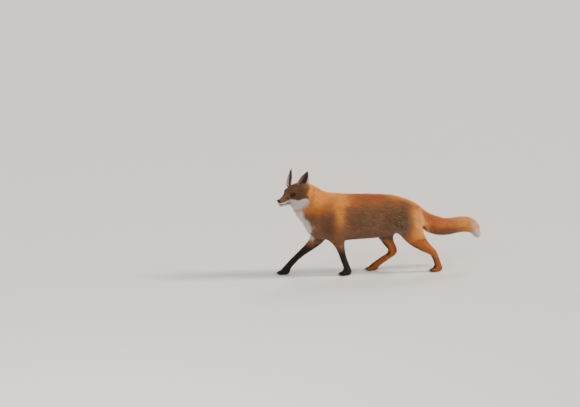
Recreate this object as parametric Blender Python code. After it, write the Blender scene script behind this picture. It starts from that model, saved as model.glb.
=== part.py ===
"""A red fox, life size, walking: the outline of its coat as closed solids, one for each named body part.

Metres, +Z up, the floor at z = 0. The fox faces -X, its left side is -Y, and the origin ends up under the
middle of its bounding box. Every limb is a tube: a profile carried along a path. The tubes are joined into
one skin by a smooth union of their distances, that skin is parted with thin plane cuts, and eyes, nose and
ears are set into it.
"""

import math

import bmesh
import bpy
import numpy as np
from mathutils import Matrix, Vector

GAP = 0.0003  # left between neighbouring solids
FINE_VOXEL = 0.0032  # head and feet
COARSE_VOXEL = 0.0085  # trunk, legs and tail
FAR = 0.06  # distances are only worked out this near to a surface
SOLE_DEPTH = 0.0012  # what of the skin is this near to the floor lies on it
TRIANGLES = {"body": 3600, "head": 2100, "foot": 260}

NECK_BLEND = 0.030
LEG_BLEND = 0.034
TAIL_BLEND = 0.040
HEAD_BLEND = 0.026
FOOT_BLEND = 0.014
TOE_BLEND = 0.004

# Each station of a tube: x, y, z of its centre, half its width across the body, half its depth.
TRUNK = [
    (-0.292, 0.0, 0.232, 0.050, 0.056),
    (-0.262, 0.0, 0.257, 0.067, 0.092),
    (-0.208, 0.0, 0.2735, 0.080, 0.1135),
    (-0.140, 0.0, 0.2755, 0.084, 0.1135),
    (-0.060, 0.0, 0.2755, 0.079, 0.1110),
    (0.015, 0.0, 0.2755, 0.070, 0.1065),
    (0.075, 0.0, 0.2795, 0.070, 0.0950),
    (0.125, 0.0, 0.2810, 0.066, 0.0730),
    (0.168, 0.0, 0.2760, 0.050, 0.0480),
]
NECK = [
    (-0.185, 0.0, 0.280, 0.062, 0.086),
    (-0.228, 0.0, 0.293, 0.068, 0.096),
    (-0.275, -0.001, 0.310, 0.067, 0.098),
    (-0.313, -0.003, 0.339, 0.064, 0.090),
    (-0.339, -0.006, 0.373, 0.059, 0.081),
    (-0.347, -0.010, 0.394, 0.053, 0.068),
    (-0.345, -0.014, 0.409, 0.047, 0.055),
]
TAIL = [
    (0.150, 0.0, 0.300, 0.026, 0.026),
    (0.185, 0.0, 0.281, 0.028, 0.030),
    (0.222, 0.004, 0.253, 0.034, 0.038),
    (0.262, 0.012, 0.2235, 0.043, 0.047),
    (0.310, 0.022, 0.2050, 0.045, 0.0455),
    (0.358, 0.032, 0.2030, 0.043, 0.0415),
    (0.405, 0.042, 0.2085, 0.042, 0.0410),
    (0.440, 0.050, 0.2060, 0.040, 0.0405),
    (0.468, 0.055, 0.1940, 0.033, 0.0355),
    (0.485, 0.058, 0.1745, 0.023, 0.0260),
    (0.490, 0.060, 0.1570, 0.011, 0.0130),
]
# The near foreleg stands under the shoulder and slopes back, and the far one reaches forward.
FORELEG_LEFT = [
    (-0.212, -0.048, 0.345, 0.022, 0.040),
    (-0.252, -0.058, 0.290, 0.030, 0.047),
    (-0.226, -0.060, 0.228, 0.031, 0.045),
    (-0.203, -0.056, 0.188, 0.027, 0.036),
    (-0.189, -0.051, 0.152, 0.0205, 0.0255),
    (-0.178, -0.047, 0.112, 0.0165, 0.0190),
    (-0.170, -0.045, 0.082, 0.0160, 0.0170),
    (-0.160, -0.044, 0.054, 0.0155, 0.0160),
    (-0.151, -0.043, 0.026, 0.0165, 0.0165),
]
FORELEG_RIGHT = [
    (-0.220, 0.048, 0.342, 0.022, 0.040),
    (-0.272, 0.056, 0.280, 0.030, 0.046),
    (-0.276, 0.058, 0.216, 0.031, 0.044),
    (-0.282, 0.056, 0.172, 0.027, 0.037),
    (-0.312, 0.052, 0.138, 0.0205, 0.0265),
    (-0.348, 0.048, 0.110, 0.0165, 0.0195),
    (-0.380, 0.045, 0.085, 0.0160, 0.0170),
    (-0.410, 0.043, 0.057, 0.0155, 0.0160),
    (-0.436, 0.043, 0.028, 0.0165, 0.0165),
]
HINDLEG_LEFT = [
    (0.128, -0.040, 0.292, 0.036, 0.056),
    (0.146, -0.048, 0.237, 0.037, 0.066),
    (0.171, -0.055, 0.180, 0.032, 0.050),
    (0.211, -0.056, 0.134, 0.0245, 0.0320),
    (0.241, -0.054, 0.110, 0.0190, 0.0235),
    (0.262, -0.052, 0.092, 0.0165, 0.0190),
    (0.274, -0.049, 0.066, 0.0150, 0.0165),
    (0.283, -0.047, 0.038, 0.0155, 0.0165),
    (0.286, -0.046, 0.022, 0.0160, 0.0160),
]
HINDLEG_RIGHT = [
    (0.120, 0.040, 0.290, 0.036, 0.056),
    (0.078, 0.050, 0.238, 0.037, 0.060),
    (0.046, 0.056, 0.198, 0.032, 0.050),
    (0.050, 0.056, 0.158, 0.0255, 0.0340),
    (0.067, 0.054, 0.122, 0.0200, 0.0250),
    (0.084, 0.052, 0.088, 0.0165, 0.0195),
    (0.058, 0.050, 0.067, 0.0150, 0.0165),
    (0.022, 0.048, 0.045, 0.0150, 0.0160),
    (-0.008, 0.046, 0.025, 0.0160, 0.0160),
]
LEGS = {
    "foreleg_left": FORELEG_LEFT,
    "foreleg_right": FORELEG_RIGHT,
    "hindleg_left": HINDLEG_LEFT,
    "hindleg_right": HINDLEG_RIGHT,
}
# Each foot: x and y of the middle of its main pad, and how far its toes turn outwards, in degrees.
FEET = {
    "foreleg_left": (-0.155, -0.043, -4),
    "foreleg_right": (-0.444, 0.043, 6),
    "hindleg_left": (0.282, -0.046, -8),
    "hindleg_right": (-0.016, 0.046, 6),
}
PAD = (0.0230, 0.0175, 0.0165)  # half length, half width, half height
PAD_HEIGHT = 0.0145
TOE = (0.0165, 0.0080, 0.0105)
TOE_ROW = ((0.0170, -0.0145), (0.0245, -0.0052), (0.0245, 0.0052), (0.0170, 0.0145))
TOE_HEIGHT = 0.0085

# The head's own frame: origin at the nose tip, +X back along the muzzle, +Y to its right, +Z up.
NOSE_TIP = Vector((-0.4780, -0.0710, 0.3745))
HEAD_YAW, HEAD_PITCH, HEAD_ROLL = math.radians(41), math.radians(7), math.radians(0)
SKULL = [
    (0.0095, 0.0, -0.0030, 0.0092, 0.0105),
    (0.0180, 0.0, -0.0062, 0.0130, 0.0188),
    (0.0360, 0.0, -0.0075, 0.0162, 0.0247),
    (0.0560, 0.0, -0.0040, 0.0200, 0.0298),
    (0.0740, 0.0, 0.0025, 0.0255, 0.0345),
    (0.0920, 0.0, 0.0068, 0.0325, 0.0402),
    (0.1140, 0.0, 0.0085, 0.0400, 0.0455),
    (0.1400, 0.0, 0.0070, 0.0450, 0.0480),
]
CHEEK_AT, CHEEK_SIZE = (0.110, 0.036, -0.014), (0.032, 0.027, 0.026)
BROW_AT, BROW_SIZE = (0.087, 0.020, 0.0300), (0.018, 0.012, 0.0085)
SOCKET_AT, SOCKET_SIZE = (0.0745, 0.0335, 0.0165), (0.0165, 0.0090, 0.0088)
CHIN_AT, CHIN_SIZE = (0.022, 0.0, -0.0225), (0.014, 0.0090, 0.0085)

EYE_AT, EYE_RADIUS = (0.0800, 0.0225, 0.0170), 0.0088
NOSE_AT, NOSE_SIZE = (0.0055, 0.0, 0.0030), (0.0085, 0.0100, 0.0080)
MOUTH_HEIGHT, MOUTH_CORNER, MOUTH_SLOPE = -0.0160, 0.060, 0.09

EAR_ROOT = (0.1265, 0.0330, 0.0370)
EAR_LENGTH, EAR_HALF_WIDTH, EAR_CUP = 0.091, 0.0320, 0.0190
EAR_THICKNESS, EAR_EDGE = 0.0048, 0.0016
EAR_FOOT, EAR_WIDE, EAR_TUCK = -0.12, 0.24, 0.80  # an ear narrows by the tuck from where it is wide to its foot
EAR_ROWS, EAR_COLUMNS = 12, 9
# How each ear leans: outwards, backwards, and how far its hollow turns out from straight ahead, in degrees.
EARS = {"ear_left": (-1, 24, 16, 40), "ear_right": (1, 18, 30, 14)}

# The cuts between the parts, each a point on the plane and its normal; a block's normals lead out of it.
HEAD_CUT, HEAD_CUT_NORMAL = 0.118, (0.79, 0, -0.61)
NECK_BLOCK = [((-0.262, 0, 0.330), (0.80, 0, -0.60))]
TAIL_BLOCK = [((0.2285, 0, 0.220), (-0.97, 0, -0.24)), ((0.226, 0, 0.178), (-0.62, 0, -0.78))]
TAIL_TIP_PLANE = ((0.432, 0.048, 0.2085), (0.97, 0.17, -0.10))
LEFT_SIDE, RIGHT_SIDE = ((0, -0.003, 0), (0, 1, 0)), ((0, 0.003, 0), (0, -1, 0))
FRONT_HALF, BACK_HALF = ((-0.10, 0, 0), (1, 0, 0)), ((-0.10, 0, 0), (-1, 0, 0))
LEG_BLOCKS = {
    "foreleg_left": [((-0.200, 0, 0.158), (0, 0, 1)), LEFT_SIDE, FRONT_HALF],
    "foreleg_right": [((-0.280, 0, 0.158), (0, 0, 1)), RIGHT_SIDE, FRONT_HALF],
    "hindleg_left": [((0.140, 0, 0.168), (-0.20, 0, 0.98)), LEFT_SIDE, BACK_HALF],
    "hindleg_right": [((0.050, 0, 0.158), (0, 0, 1)), RIGHT_SIDE, BACK_HALF],
}
FOOT_PLANES = {
    "foreleg_left": ((-0.166, 0, 0.070), (0.22, 0, -1)),
    "foreleg_right": ((-0.394, 0, 0.072), (-0.72, 0, -0.70)),
    "hindleg_left": ((0.270, 0, 0.075), (0.25, 0, -1)),
    "hindleg_right": ((0.050, 0, 0.062), (-0.85, 0, -0.52)),
}

COLOURS = {
    "coat": (0.52, 0.19, 0.055),
    "socks": (0.045, 0.028, 0.020),
    "pale": (0.72, 0.66, 0.58),
    "leather": (0.015, 0.013, 0.012),
    "eye": (0.30, 0.13, 0.02),
}
ROUGHNESS = {"coat": 0.85, "socks": 0.85, "pale": 0.85, "leather": 0.40, "eye": 0.08}


def unit(v):
    return v / np.maximum(np.linalg.norm(v, axis=-1, keepdims=True), 1e-12)


def smooth_stations(stations, steps=4):
    """A Catmull-Rom curve through the stations, in all five of their numbers."""
    s = np.array(stations, float)
    s = np.vstack([2 * s[0] - s[1], s, 2 * s[-1] - s[-2]])
    t = np.linspace(0, 1, steps, endpoint=False)[:, None]
    spans = []
    for a, b, c, d in zip(s, s[1:], s[2:], s[3:]):
        spans.append(
            0.5 * (2 * b + (c - a) * t + (2 * a - 5 * b + 4 * c - d) * t**2 + (3 * b - a - 3 * c + d) * t**3)
        )
    return np.vstack([*spans, s[-2:-1]])


def ellipsoid_distance(offset, size):
    """Nearly the distance from an ellipsoid's surface, negative inside, of points given from its centre."""
    size = np.asarray(size, float)
    k0 = np.linalg.norm(offset / size, axis=-1)
    k1 = np.linalg.norm(offset / size**2, axis=-1)
    return np.where(k0 < 1e-6, -size.min(axis=-1), k0 * (k0 - 1) / np.maximum(k1, 1e-9))


def tube_distance(points, stations):
    """The least distance from the tube's short spans, each an ellipse carried along a straight line."""
    s = smooth_stations(stations)
    best = np.full(len(points), FAR)
    for a, b in zip(s, s[1:]):
        low = np.minimum(a[:3], b[:3]) - max(a[3:].max(), b[3:].max()) - FAR
        high = np.maximum(a[:3], b[:3]) + max(a[3:].max(), b[3:].max()) + FAR
        close = np.flatnonzero(((points > low) & (points < high)).all(axis=1))
        near = points[close]
        step = b[:3] - a[:3]
        ahead = unit(step)
        side = unit(np.array([0.0, 1.0, 0.0]) - ahead[1] * ahead)
        above = np.cross(side, ahead)
        t = np.clip((near - a[:3]) @ step / (step @ step), 0, 1)
        offset = near - a[:3] - t[:, None] * step
        size = a[3:] + t[:, None] * (b[3:] - a[3:])
        offset = np.stack([offset @ side, offset @ above, offset @ ahead], axis=1)
        distance = ellipsoid_distance(offset, np.column_stack([size, size.min(1)]))
        best[close] = np.minimum(best[close], distance)
    return best


def smooth_union(a, b, blend):
    h = np.maximum(blend - np.abs(a - b), 0) / blend
    return np.minimum(a, b) - h * h * blend / 4


def smooth_cut(a, b, blend):
    """The shape of a with b taken away."""
    return -smooth_union(-a, b, blend)


def head_matrix():
    """From the head's own frame to the body's."""
    turn = Matrix.Rotation(HEAD_YAW, 4, "Z") @ Matrix.Rotation(-HEAD_PITCH, 4, "Y")
    return Matrix.Translation(NOSE_TIP) @ turn @ Matrix.Rotation(HEAD_ROLL, 4, "X")


def head_distance(points):
    inverse = np.array(head_matrix().inverted())
    local = points @ inverse[:3, :3].T + inverse[:3, 3]
    mirrored = local * [1, 0, 1] + np.abs(local) * [0, 1, 0]
    skull = tube_distance(local, SKULL)
    skull = smooth_union(skull, ellipsoid_distance(mirrored - CHEEK_AT, CHEEK_SIZE), 0.020)
    skull = smooth_union(skull, ellipsoid_distance(mirrored - BROW_AT, BROW_SIZE), 0.012)
    skull = smooth_union(skull, ellipsoid_distance(local - np.array(CHIN_AT), CHIN_SIZE), 0.008)
    return smooth_cut(skull, ellipsoid_distance(mirrored - SOCKET_AT, SOCKET_SIZE), 0.012)


def foot_distance(points, foot):
    """A main pad and four toes, each an ellipsoid, in a frame that turns with the foot."""
    x, y, turn = foot
    c, s = math.cos(math.radians(turn)), math.sin(math.radians(turn))
    ahead, side = np.array([-c, s, 0]), np.array([s, c, 0])
    local = points - np.array([x, y, 0])
    local = np.column_stack([local @ ahead, local @ side, local[:, 2]])
    distance = ellipsoid_distance(local - np.array([0, 0, PAD_HEIGHT]), PAD)
    for forward, across in TOE_ROW:
        toe = ellipsoid_distance(local - np.array([forward, across, TOE_HEIGHT]), TOE)
        distance = smooth_union(distance, toe, TOE_BLEND)
    return distance


def body_distance(points):
    """Negative inside the fox, positive outside it, and about the distance from its coat near it."""
    body = smooth_union(tube_distance(points, TRUNK), tube_distance(points, NECK), NECK_BLEND)
    body = smooth_union(body, tube_distance(points, TAIL), TAIL_BLEND)
    body = smooth_union(body, head_distance(points), HEAD_BLEND)
    for name, stations in LEGS.items():
        leg = smooth_union(tube_distance(points, stations), foot_distance(points, FEET[name]), FOOT_BLEND)
        body = smooth_union(body, leg, LEG_BLEND)
    return np.maximum(body, -points[:, 2])


def mesh_points(mesh):
    points = np.empty(len(mesh.vertices) * 3, np.float32)
    mesh.vertices.foreach_get("co", points)
    return points.reshape(-1, 3).astype(float)


def set_points(mesh, points):
    mesh.vertices.foreach_set("co", points.astype(np.float32).ravel())
    mesh.update()


def onto_skin(mesh, loose, steps):
    """Moves the loose vertices down the slope of body_distance until it is nothing there."""
    points = mesh_points(mesh)
    for _ in range(steps):
        here = points[loose]
        distance = body_distance(here)
        reach = 0.0004
        ahead = np.stack([body_distance(here + reach * axis) for axis in np.eye(3)], axis=1)
        slope = (ahead - distance[:, None]) / reach
        step = distance / np.maximum((slope**2).sum(1), 0.25)
        points[loose] = here - np.clip(step, -0.02, 0.02)[:, None] * slope
    set_points(mesh, points)


def tube_mesh(bm, stations, place=Matrix.Identity(4), sides=18):
    """A closed tube of elliptical rings along the stations' curve, with rounded ends."""
    s = smooth_stations(stations, 3)
    ahead = unit(np.gradient(s[:, :3], axis=0))
    side = unit(np.array([0.0, 1.0, 0.0]) - ahead[:, 1:2] * ahead)
    above = np.cross(side, ahead)
    angle = np.linspace(0, 2 * math.pi, sides, endpoint=False)
    rings = []
    for centre, across, up, n in zip(s, side, above, range(len(s))):
        ends = [0] if 0 < n < len(s) - 1 else ([-0.8, 0] if n == 0 else [0, 0.8])
        for out in ends:
            size = centre[3:] * math.sqrt(1 - out * out)
            shift = ahead[n] * out * centre[3:].min()
            ring = (
                centre[:3] + shift
                + np.outer(np.cos(angle) * size[0], across)
                + np.outer(np.sin(angle) * size[1], up)
            )
            rings.append([bm.verts.new(place @ Vector(p)) for p in ring])
    for low, high in zip(rings, rings[1:]):
        for i in range(sides):
            j = (i + 1) % sides
            bm.faces.new((low[i], low[j], high[j], high[i]))
    bm.faces.new(rings[0][::-1])
    bm.faces.new(rings[-1])


def rough_body():
    """Every tube, ball and foot as overlapping closed shapes in one mesh, not yet fused."""
    bm = bmesh.new()
    for stations in (TRUNK, NECK, TAIL, *LEGS.values()):
        tube_mesh(bm, stations)
    tube_mesh(bm, SKULL, head_matrix())
    balls = [(head_matrix(), CHIN_AT, CHIN_SIZE)]
    for side in (-1, 1):
        for centre, size in ((CHEEK_AT, CHEEK_SIZE), (BROW_AT, BROW_SIZE)):
            balls.append((head_matrix(), (centre[0], side * centre[1], centre[2]), size))
    for x, y, turn in FEET.values():
        place = Matrix.Translation((x, y, 0)) @ Matrix.Rotation(-math.radians(turn), 4, "Z")
        balls.append((place, (0, 0, PAD_HEIGHT), PAD))
        balls += [(place, (-forward, across, TOE_HEIGHT), TOE) for forward, across in TOE_ROW]
    for place, centre, size in balls:
        matrix = place @ Matrix.Translation(centre) @ Matrix.Diagonal((*size, 1))
        bmesh.ops.create_icosphere(bm, subdivisions=2, radius=1, matrix=matrix)
    bmesh.ops.recalc_face_normals(bm, faces=bm.faces)
    mesh = bpy.data.meshes.new("rough_body")
    bm.to_mesh(mesh)
    bm.free()
    return mesh


def modified(mesh, kind, **settings):
    """The mesh after one modifier."""
    helper = bpy.data.objects.new("helper", mesh)
    bpy.context.scene.collection.objects.link(helper)
    modifier = helper.modifiers.new(kind, kind)
    for name, value in settings.items():
        setattr(modifier, name, value)
    graph = bpy.context.evaluated_depsgraph_get()
    made = bpy.data.meshes.new_from_object(helper.evaluated_get(graph))
    bpy.data.objects.remove(helper)
    return made


def cut(mesh, planes, near=None):
    """The part of a closed mesh behind every plane, given as (point, normal), closed again, and of what is
    left only the piece nearest to a point."""
    bm = bmesh.new()
    bm.from_mesh(mesh)
    for point, normal in planes:
        bmesh.ops.bisect_plane(
            bm, geom=[*bm.verts, *bm.edges, *bm.faces], dist=1e-6,
            plane_co=point, plane_no=normal, clear_outer=True,
        )
        edges = [e for e in bm.edges if e.is_boundary]
        bmesh.ops.holes_fill(bm, edges=edges)
    if near is not None:
        keep_nearest(bm, Vector(near))
    bmesh.ops.triangulate(bm, faces=[f for f in bm.faces if len(f.verts) > 4])
    made = bpy.data.meshes.new("cut")
    bm.to_mesh(made)
    bm.free()
    return made


def keep_nearest(bm, near):
    """Deletes all of the mesh but the connected piece that holds the vertex nearest to a point."""
    first = min(bm.verts, key=lambda v: (v.co - near).length)
    reached, edge = {first}, [first]
    while edge:
        fresh = {e.other_vert(v) for v in edge for e in v.link_edges} - reached
        reached |= fresh
        edge = list(fresh)
    bmesh.ops.delete(bm, geom=[v for v in bm.verts if v not in reached], context="VERTS")


def relax(mesh, loose):
    """Evens out the loose vertices and leaves the mesh in triangles."""
    bm = bmesh.new()
    bm.from_mesh(mesh)
    free = [v for v, inside in zip(bm.verts, loose) if inside]
    for _ in range(2):
        bmesh.ops.smooth_vert(bm, verts=free, factor=0.4, use_axis_x=True, use_axis_y=True, use_axis_z=True)
    bmesh.ops.triangulate(bm, faces=bm.faces)
    bm.to_mesh(mesh)
    bm.free()


def skin(rough, voxel, triangles, planes, near):
    """A region of the fox's skin with about that many triangles, a little wider than the region asked for."""
    margin = 3 * voxel
    wide = [(Vector(p) + Vector(n).normalized() * margin, n) for p, n in planes]
    mesh = cut(modified(rough, "REMESH", mode="VOXEL", voxel_size=voxel), wide, near)
    points = mesh_points(mesh)
    inside = np.ones(len(points), bool)
    for point, normal in wide:
        inside &= (points - np.array(point)) @ np.array(Vector(normal).normalized()) < -1e-5
    for steps in (2, 1, 1):
        onto_skin(mesh, inside, steps)
        relax(mesh, inside)
    onto_skin(mesh, inside, 1)
    mesh = modified(mesh, "DECIMATE", ratio=min(1.0, triangles / len(mesh.polygons)))
    points = mesh_points(mesh)
    points[:, 2] = np.where(points[:, 2] < SOLE_DEPTH, 0.0, points[:, 2])
    set_points(mesh, points)
    return mesh


def add(name, mesh, colour):
    """A node of the model."""
    made = bpy.data.objects.new(name, mesh)
    bpy.context.scene.collection.objects.link(made)
    made.data.name = name
    material = bpy.data.materials.get(colour) or bpy.data.materials.new(colour)
    material.use_nodes = True
    shader = material.node_tree.nodes["Principled BSDF"]
    shader.inputs["Base Color"].default_value = (*COLOURS[colour], 1)
    shader.inputs["Roughness"].default_value = ROUGHNESS[colour]
    mesh.materials.clear()
    mesh.materials.append(material)
    mesh.shade_smooth()
    mesh.set_sharp_from_angle(angle=math.radians(50))
    return made


def ball(centre, size):
    """An ellipsoid in the head's frame."""
    bm = bmesh.new()
    place = head_matrix() @ Matrix.Translation(centre) @ Matrix.Diagonal((*size, 1))
    bmesh.ops.create_uvsphere(bm, u_segments=14, v_segments=8, radius=1, matrix=place)
    bmesh.ops.triangulate(bm, faces=bm.faces)
    mesh = bpy.data.meshes.new("ball")
    bm.to_mesh(mesh)
    bm.free()
    return mesh


def ear_matrix(side, outwards, backwards, turned):
    """From an ear's own frame, up its length from its root with its hollow ahead (-X), to the body's."""
    root = Matrix.Translation((EAR_ROOT[0], side * EAR_ROOT[1], EAR_ROOT[2]))
    lean = Matrix.Rotation(-side * math.radians(outwards), 4, "X")
    back = Matrix.Rotation(math.radians(backwards), 4, "Y")
    return head_matrix() @ root @ lean @ back @ Matrix.Rotation(-side * math.radians(turned), 4, "Z")


def ear_surface(up, across, layer):
    """A pointed leaf bent round its length, drawn in towards its foot: up and across run from the foot to 1
    and -1 to 1, and layer is 0 on the hollow side and 1 on the back."""
    tuck = 1 - EAR_TUCK * np.clip((EAR_WIDE - up) / (EAR_WIDE - EAR_FOOT), 0, 1) ** 2
    above = np.maximum(up, 0)
    width = EAR_HALF_WIDTH * np.clip(1 - above**2.2, 0, 1) ** 0.75 * (0.80 + 0.75 * above * (1 - above)) * tuck
    bend = across * 1.15
    radius = np.maximum(width / 1.05, 1e-5)
    depth = (EAR_CUP * (1 - above) ** 0.7 + 0.004) * tuck**0.5
    thick = EAR_EDGE + (EAR_THICKNESS - EAR_EDGE) * (1 - np.abs(across)) * (1 - above) ** 0.5
    x = -depth * (1 - np.cos(bend)) + (layer - 0.5) * thick * np.cos(bend * 0.8)
    y = radius * np.sin(bend) + (layer - 0.5) * thick * np.sin(bend) * 0.5
    return np.stack([x, y, up * EAR_LENGTH + 0 * across], axis=-1)


def ear(side, outwards, backwards, turned):
    """One ear: the hollow and the back as two grids, closed round the rim and under the root."""
    up = np.linspace(EAR_FOOT, 0.985, EAR_ROWS)[:, None]
    across = np.linspace(-1, 1, EAR_COLUMNS)[None, :]
    place = ear_matrix(side, outwards, backwards, turned)
    bm = bmesh.new()
    sheets = []
    for layer in (0, 1):
        grid = ear_surface(up, across, layer)
        sheets.append([[bm.verts.new(place @ Vector(p)) for p in row] for row in grid])
    rim = [(r, 0) for r in range(EAR_ROWS)] + [(EAR_ROWS - 1, c) for c in range(1, EAR_COLUMNS)]
    rim += [(r, EAR_COLUMNS - 1) for r in range(EAR_ROWS - 2, -1, -1)]
    rim += [(0, c) for c in range(EAR_COLUMNS - 2, 0, -1)]
    for sheet in sheets:
        for r in range(EAR_ROWS - 1):
            for c in range(EAR_COLUMNS - 1):
                bm.faces.new((sheet[r][c], sheet[r][c + 1], sheet[r + 1][c + 1], sheet[r + 1][c]))
    hollow, back = sheets
    for (r, c), (s, d) in zip(rim, [*rim[1:], rim[0]]):
        bm.faces.new((hollow[r][c], hollow[s][d], back[s][d], back[r][c]))
    bmesh.ops.recalc_face_normals(bm, faces=bm.faces)
    bmesh.ops.triangulate(bm, faces=bm.faces)
    mesh = bpy.data.meshes.new("ear")
    bm.to_mesh(mesh)
    bm.free()
    return mesh


def clear_scene():
    for old in list(bpy.data.objects):
        bpy.data.objects.remove(old)


def to_body(point):
    """A point of the head's frame in the body's."""
    return head_matrix() @ Vector(point)


def parted(point, normal):
    """A plane's two sides, each half a gap back from it: what lies behind it, and what lies beyond."""
    normal = Vector(normal).normalized()
    point = Vector(point)
    return (point - normal * GAP / 2, normal), (point + normal * GAP / 2, -normal)


def head_plane(along, normal):
    """A cut across the head's midline, that far behind the nose tip."""
    return parted(to_body((along, 0, 0)), head_matrix().to_3x3() @ Vector(normal))


def block(planes, grow):
    """The convex block behind all the planes, each moved outwards by grow."""
    bm = bmesh.new()
    bmesh.ops.create_cube(bm, size=2)
    for point, normal in planes:
        normal = Vector(normal).normalized()
        bmesh.ops.bisect_plane(
            bm, geom=[*bm.verts, *bm.edges, *bm.faces], dist=1e-6,
            plane_co=Vector(point) + normal * grow, plane_no=normal, clear_outer=True,
        )
        bmesh.ops.holes_fill(bm, edges=[e for e in bm.edges if e.is_boundary])
    bmesh.ops.recalc_face_normals(bm, faces=bm.faces)
    mesh = bpy.data.meshes.new("block")
    bm.to_mesh(mesh)
    bm.free()
    return mesh


def combined(mesh, other, operation):
    """The Boolean of two closed meshes."""
    helper = bpy.data.objects.new("cutter", other)
    helper.hide_render, helper.display_type = True, "WIRE"
    bpy.context.scene.collection.objects.link(helper)
    made = modified(mesh, "BOOLEAN", object=helper, operation=operation)
    bpy.data.objects.remove(helper)
    return made


def part_off(mesh, planes):
    """The piece of a mesh inside a block, and the rest of it, a gap apart."""
    piece = combined(mesh, block(planes, -GAP / 2), "INTERSECT")
    return piece, combined(mesh, block(planes, GAP / 2), "DIFFERENCE")


def build_body(rough):
    """Trunk, neck, tail and legs from one coarse skin, and the feet from finer ones."""
    rest = skin(rough, COARSE_VOXEL, TRIANGLES["body"], [], None)
    tail, rest = part_off(rest, TAIL_BLOCK)
    neck, rest = part_off(rest, NECK_BLOCK)
    add("neck", cut(neck, [head_plane(HEAD_CUT, HEAD_CUT_NORMAL)[1]]), "coat")
    near_tip, beyond_tip = parted(*TAIL_TIP_PLANE)
    add("tail", cut(tail, [near_tip]), "coat")
    add("tail_tip", cut(tail, [beyond_tip]), "pale")
    for name, planes in LEG_BLOCKS.items():
        leg, rest = part_off(rest, planes)
        above, below = parted(*FOOT_PLANES[name])
        add(name, cut(leg, [above]), "socks" if "fore" in name else "coat")
        x, y, _ = FEET[name]
        side = ((0, 0, 0), (0, -math.copysign(1, y), 0))
        foot = skin(rough, FINE_VOXEL, TRIANGLES["foot"], [below, side], (x, y, 0.01))
        add(name.replace("leg", "paw"), cut(foot, [below, side], (x, y, 0.01)), "socks")
    add("trunk", rest, "coat")


def build_head(rough):
    """Skull and lower jaw, with the eyes, nose and ears let in."""
    behind_ears = head_plane(HEAD_CUT, HEAD_CUT_NORMAL)[0]
    whole = cut(skin(rough, FINE_VOXEL, TRIANGLES["head"], [behind_ears], NOSE_TIP), [behind_ears])
    turn = head_matrix().to_3x3()
    jaw_block = [
        (to_body((0, 0, MOUTH_HEIGHT)), turn @ Vector((MOUTH_SLOPE, 0, 1))),
        (to_body((MOUTH_CORNER, 0, 0)), turn @ Vector((1, 0, 0.12))),
    ]
    jaw, head = part_off(whole, jaw_block)
    for name, side in (("eye_left", -1), ("eye_right", 1)):
        centre = (EYE_AT[0], side * EYE_AT[1], EYE_AT[2])
        head = combined(head, ball(centre, [EYE_RADIUS + GAP] * 3), "DIFFERENCE")
        add(name, ball(centre, [EYE_RADIUS] * 3), "eye")
    room = ball(NOSE_AT, [size + GAP for size in NOSE_SIZE])
    add("head", combined(head, room, "DIFFERENCE"), "coat")
    add("jaw", combined(jaw, room, "DIFFERENCE"), "pale")
    add("nose", ball(NOSE_AT, NOSE_SIZE), "leather")
    clearance = swollen(whole)
    for name, lean in EARS.items():
        tip = ear_matrix(*lean) @ Vector((0, 0, EAR_LENGTH))
        add(name, cut(combined(ear(*lean), clearance, "DIFFERENCE"), [], tip), "socks")


def swollen(mesh):
    """The mesh a little larger all round."""
    made = mesh.copy()
    normals = np.empty(len(mesh.vertices) * 3, np.float32)
    mesh.vertices.foreach_get("normal", normals)
    set_points(made, mesh_points(mesh) + normals.reshape(-1, 3) * GAP * 1.5)
    return made


def centre_model():
    """Moves every node so that the origin is under the middle of the bounding box."""
    nodes = [o for o in bpy.data.objects if o.type == "MESH"]
    points = np.vstack([mesh_points(o.data) for o in nodes])
    low, high = points.min(0), points.max(0)
    shift = Vector((-(low[0] + high[0]) / 2, -(low[1] + high[1]) / 2, -low[2]))
    for node in nodes:
        node.data.transform(Matrix.Translation(shift))


def main():
    clear_scene()
    rough = rough_body()
    build_body(rough)
    build_head(rough)
    centre_model()


main()
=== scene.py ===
"""The looks of a life-size walking red fox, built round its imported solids: one skin under a coat of hair
locks, with ears, eyes, lids, nose, lips, whiskers, claws and pads of its own.

Metres, +Z up, the floor at z = 0. The fox faces -X and its left side is -Y. The solids give the outline out
to the coat's tips. The skin lies inside them by the coat's depth, and every lock grows from the skin, follows
the lie of the coat along the outline and ends on it.
"""

import math
from dataclasses import dataclass
from functools import lru_cache
from itertools import product

import bmesh
import bpy
import numpy as np
from mathutils import Matrix, Vector
from mathutils.bvhtree import BVHTree


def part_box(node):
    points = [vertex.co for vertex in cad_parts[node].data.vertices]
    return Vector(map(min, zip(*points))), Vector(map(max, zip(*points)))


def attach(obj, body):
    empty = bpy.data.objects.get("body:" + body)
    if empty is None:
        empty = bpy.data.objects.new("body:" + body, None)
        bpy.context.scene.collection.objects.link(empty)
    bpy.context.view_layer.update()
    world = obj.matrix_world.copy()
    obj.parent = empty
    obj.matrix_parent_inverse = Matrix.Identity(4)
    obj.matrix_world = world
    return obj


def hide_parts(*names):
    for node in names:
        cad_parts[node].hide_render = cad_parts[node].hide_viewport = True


bl_info = {
    "name": "Walking red fox",
    "version": (1, 0, 0),
    "blender": (4, 5, 0),
    "location": "3D View > Sidebar > Fox",
    "description": "Skin, coat, face, feet and studio of a life-size red fox",
    "category": "Object",
}

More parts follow.
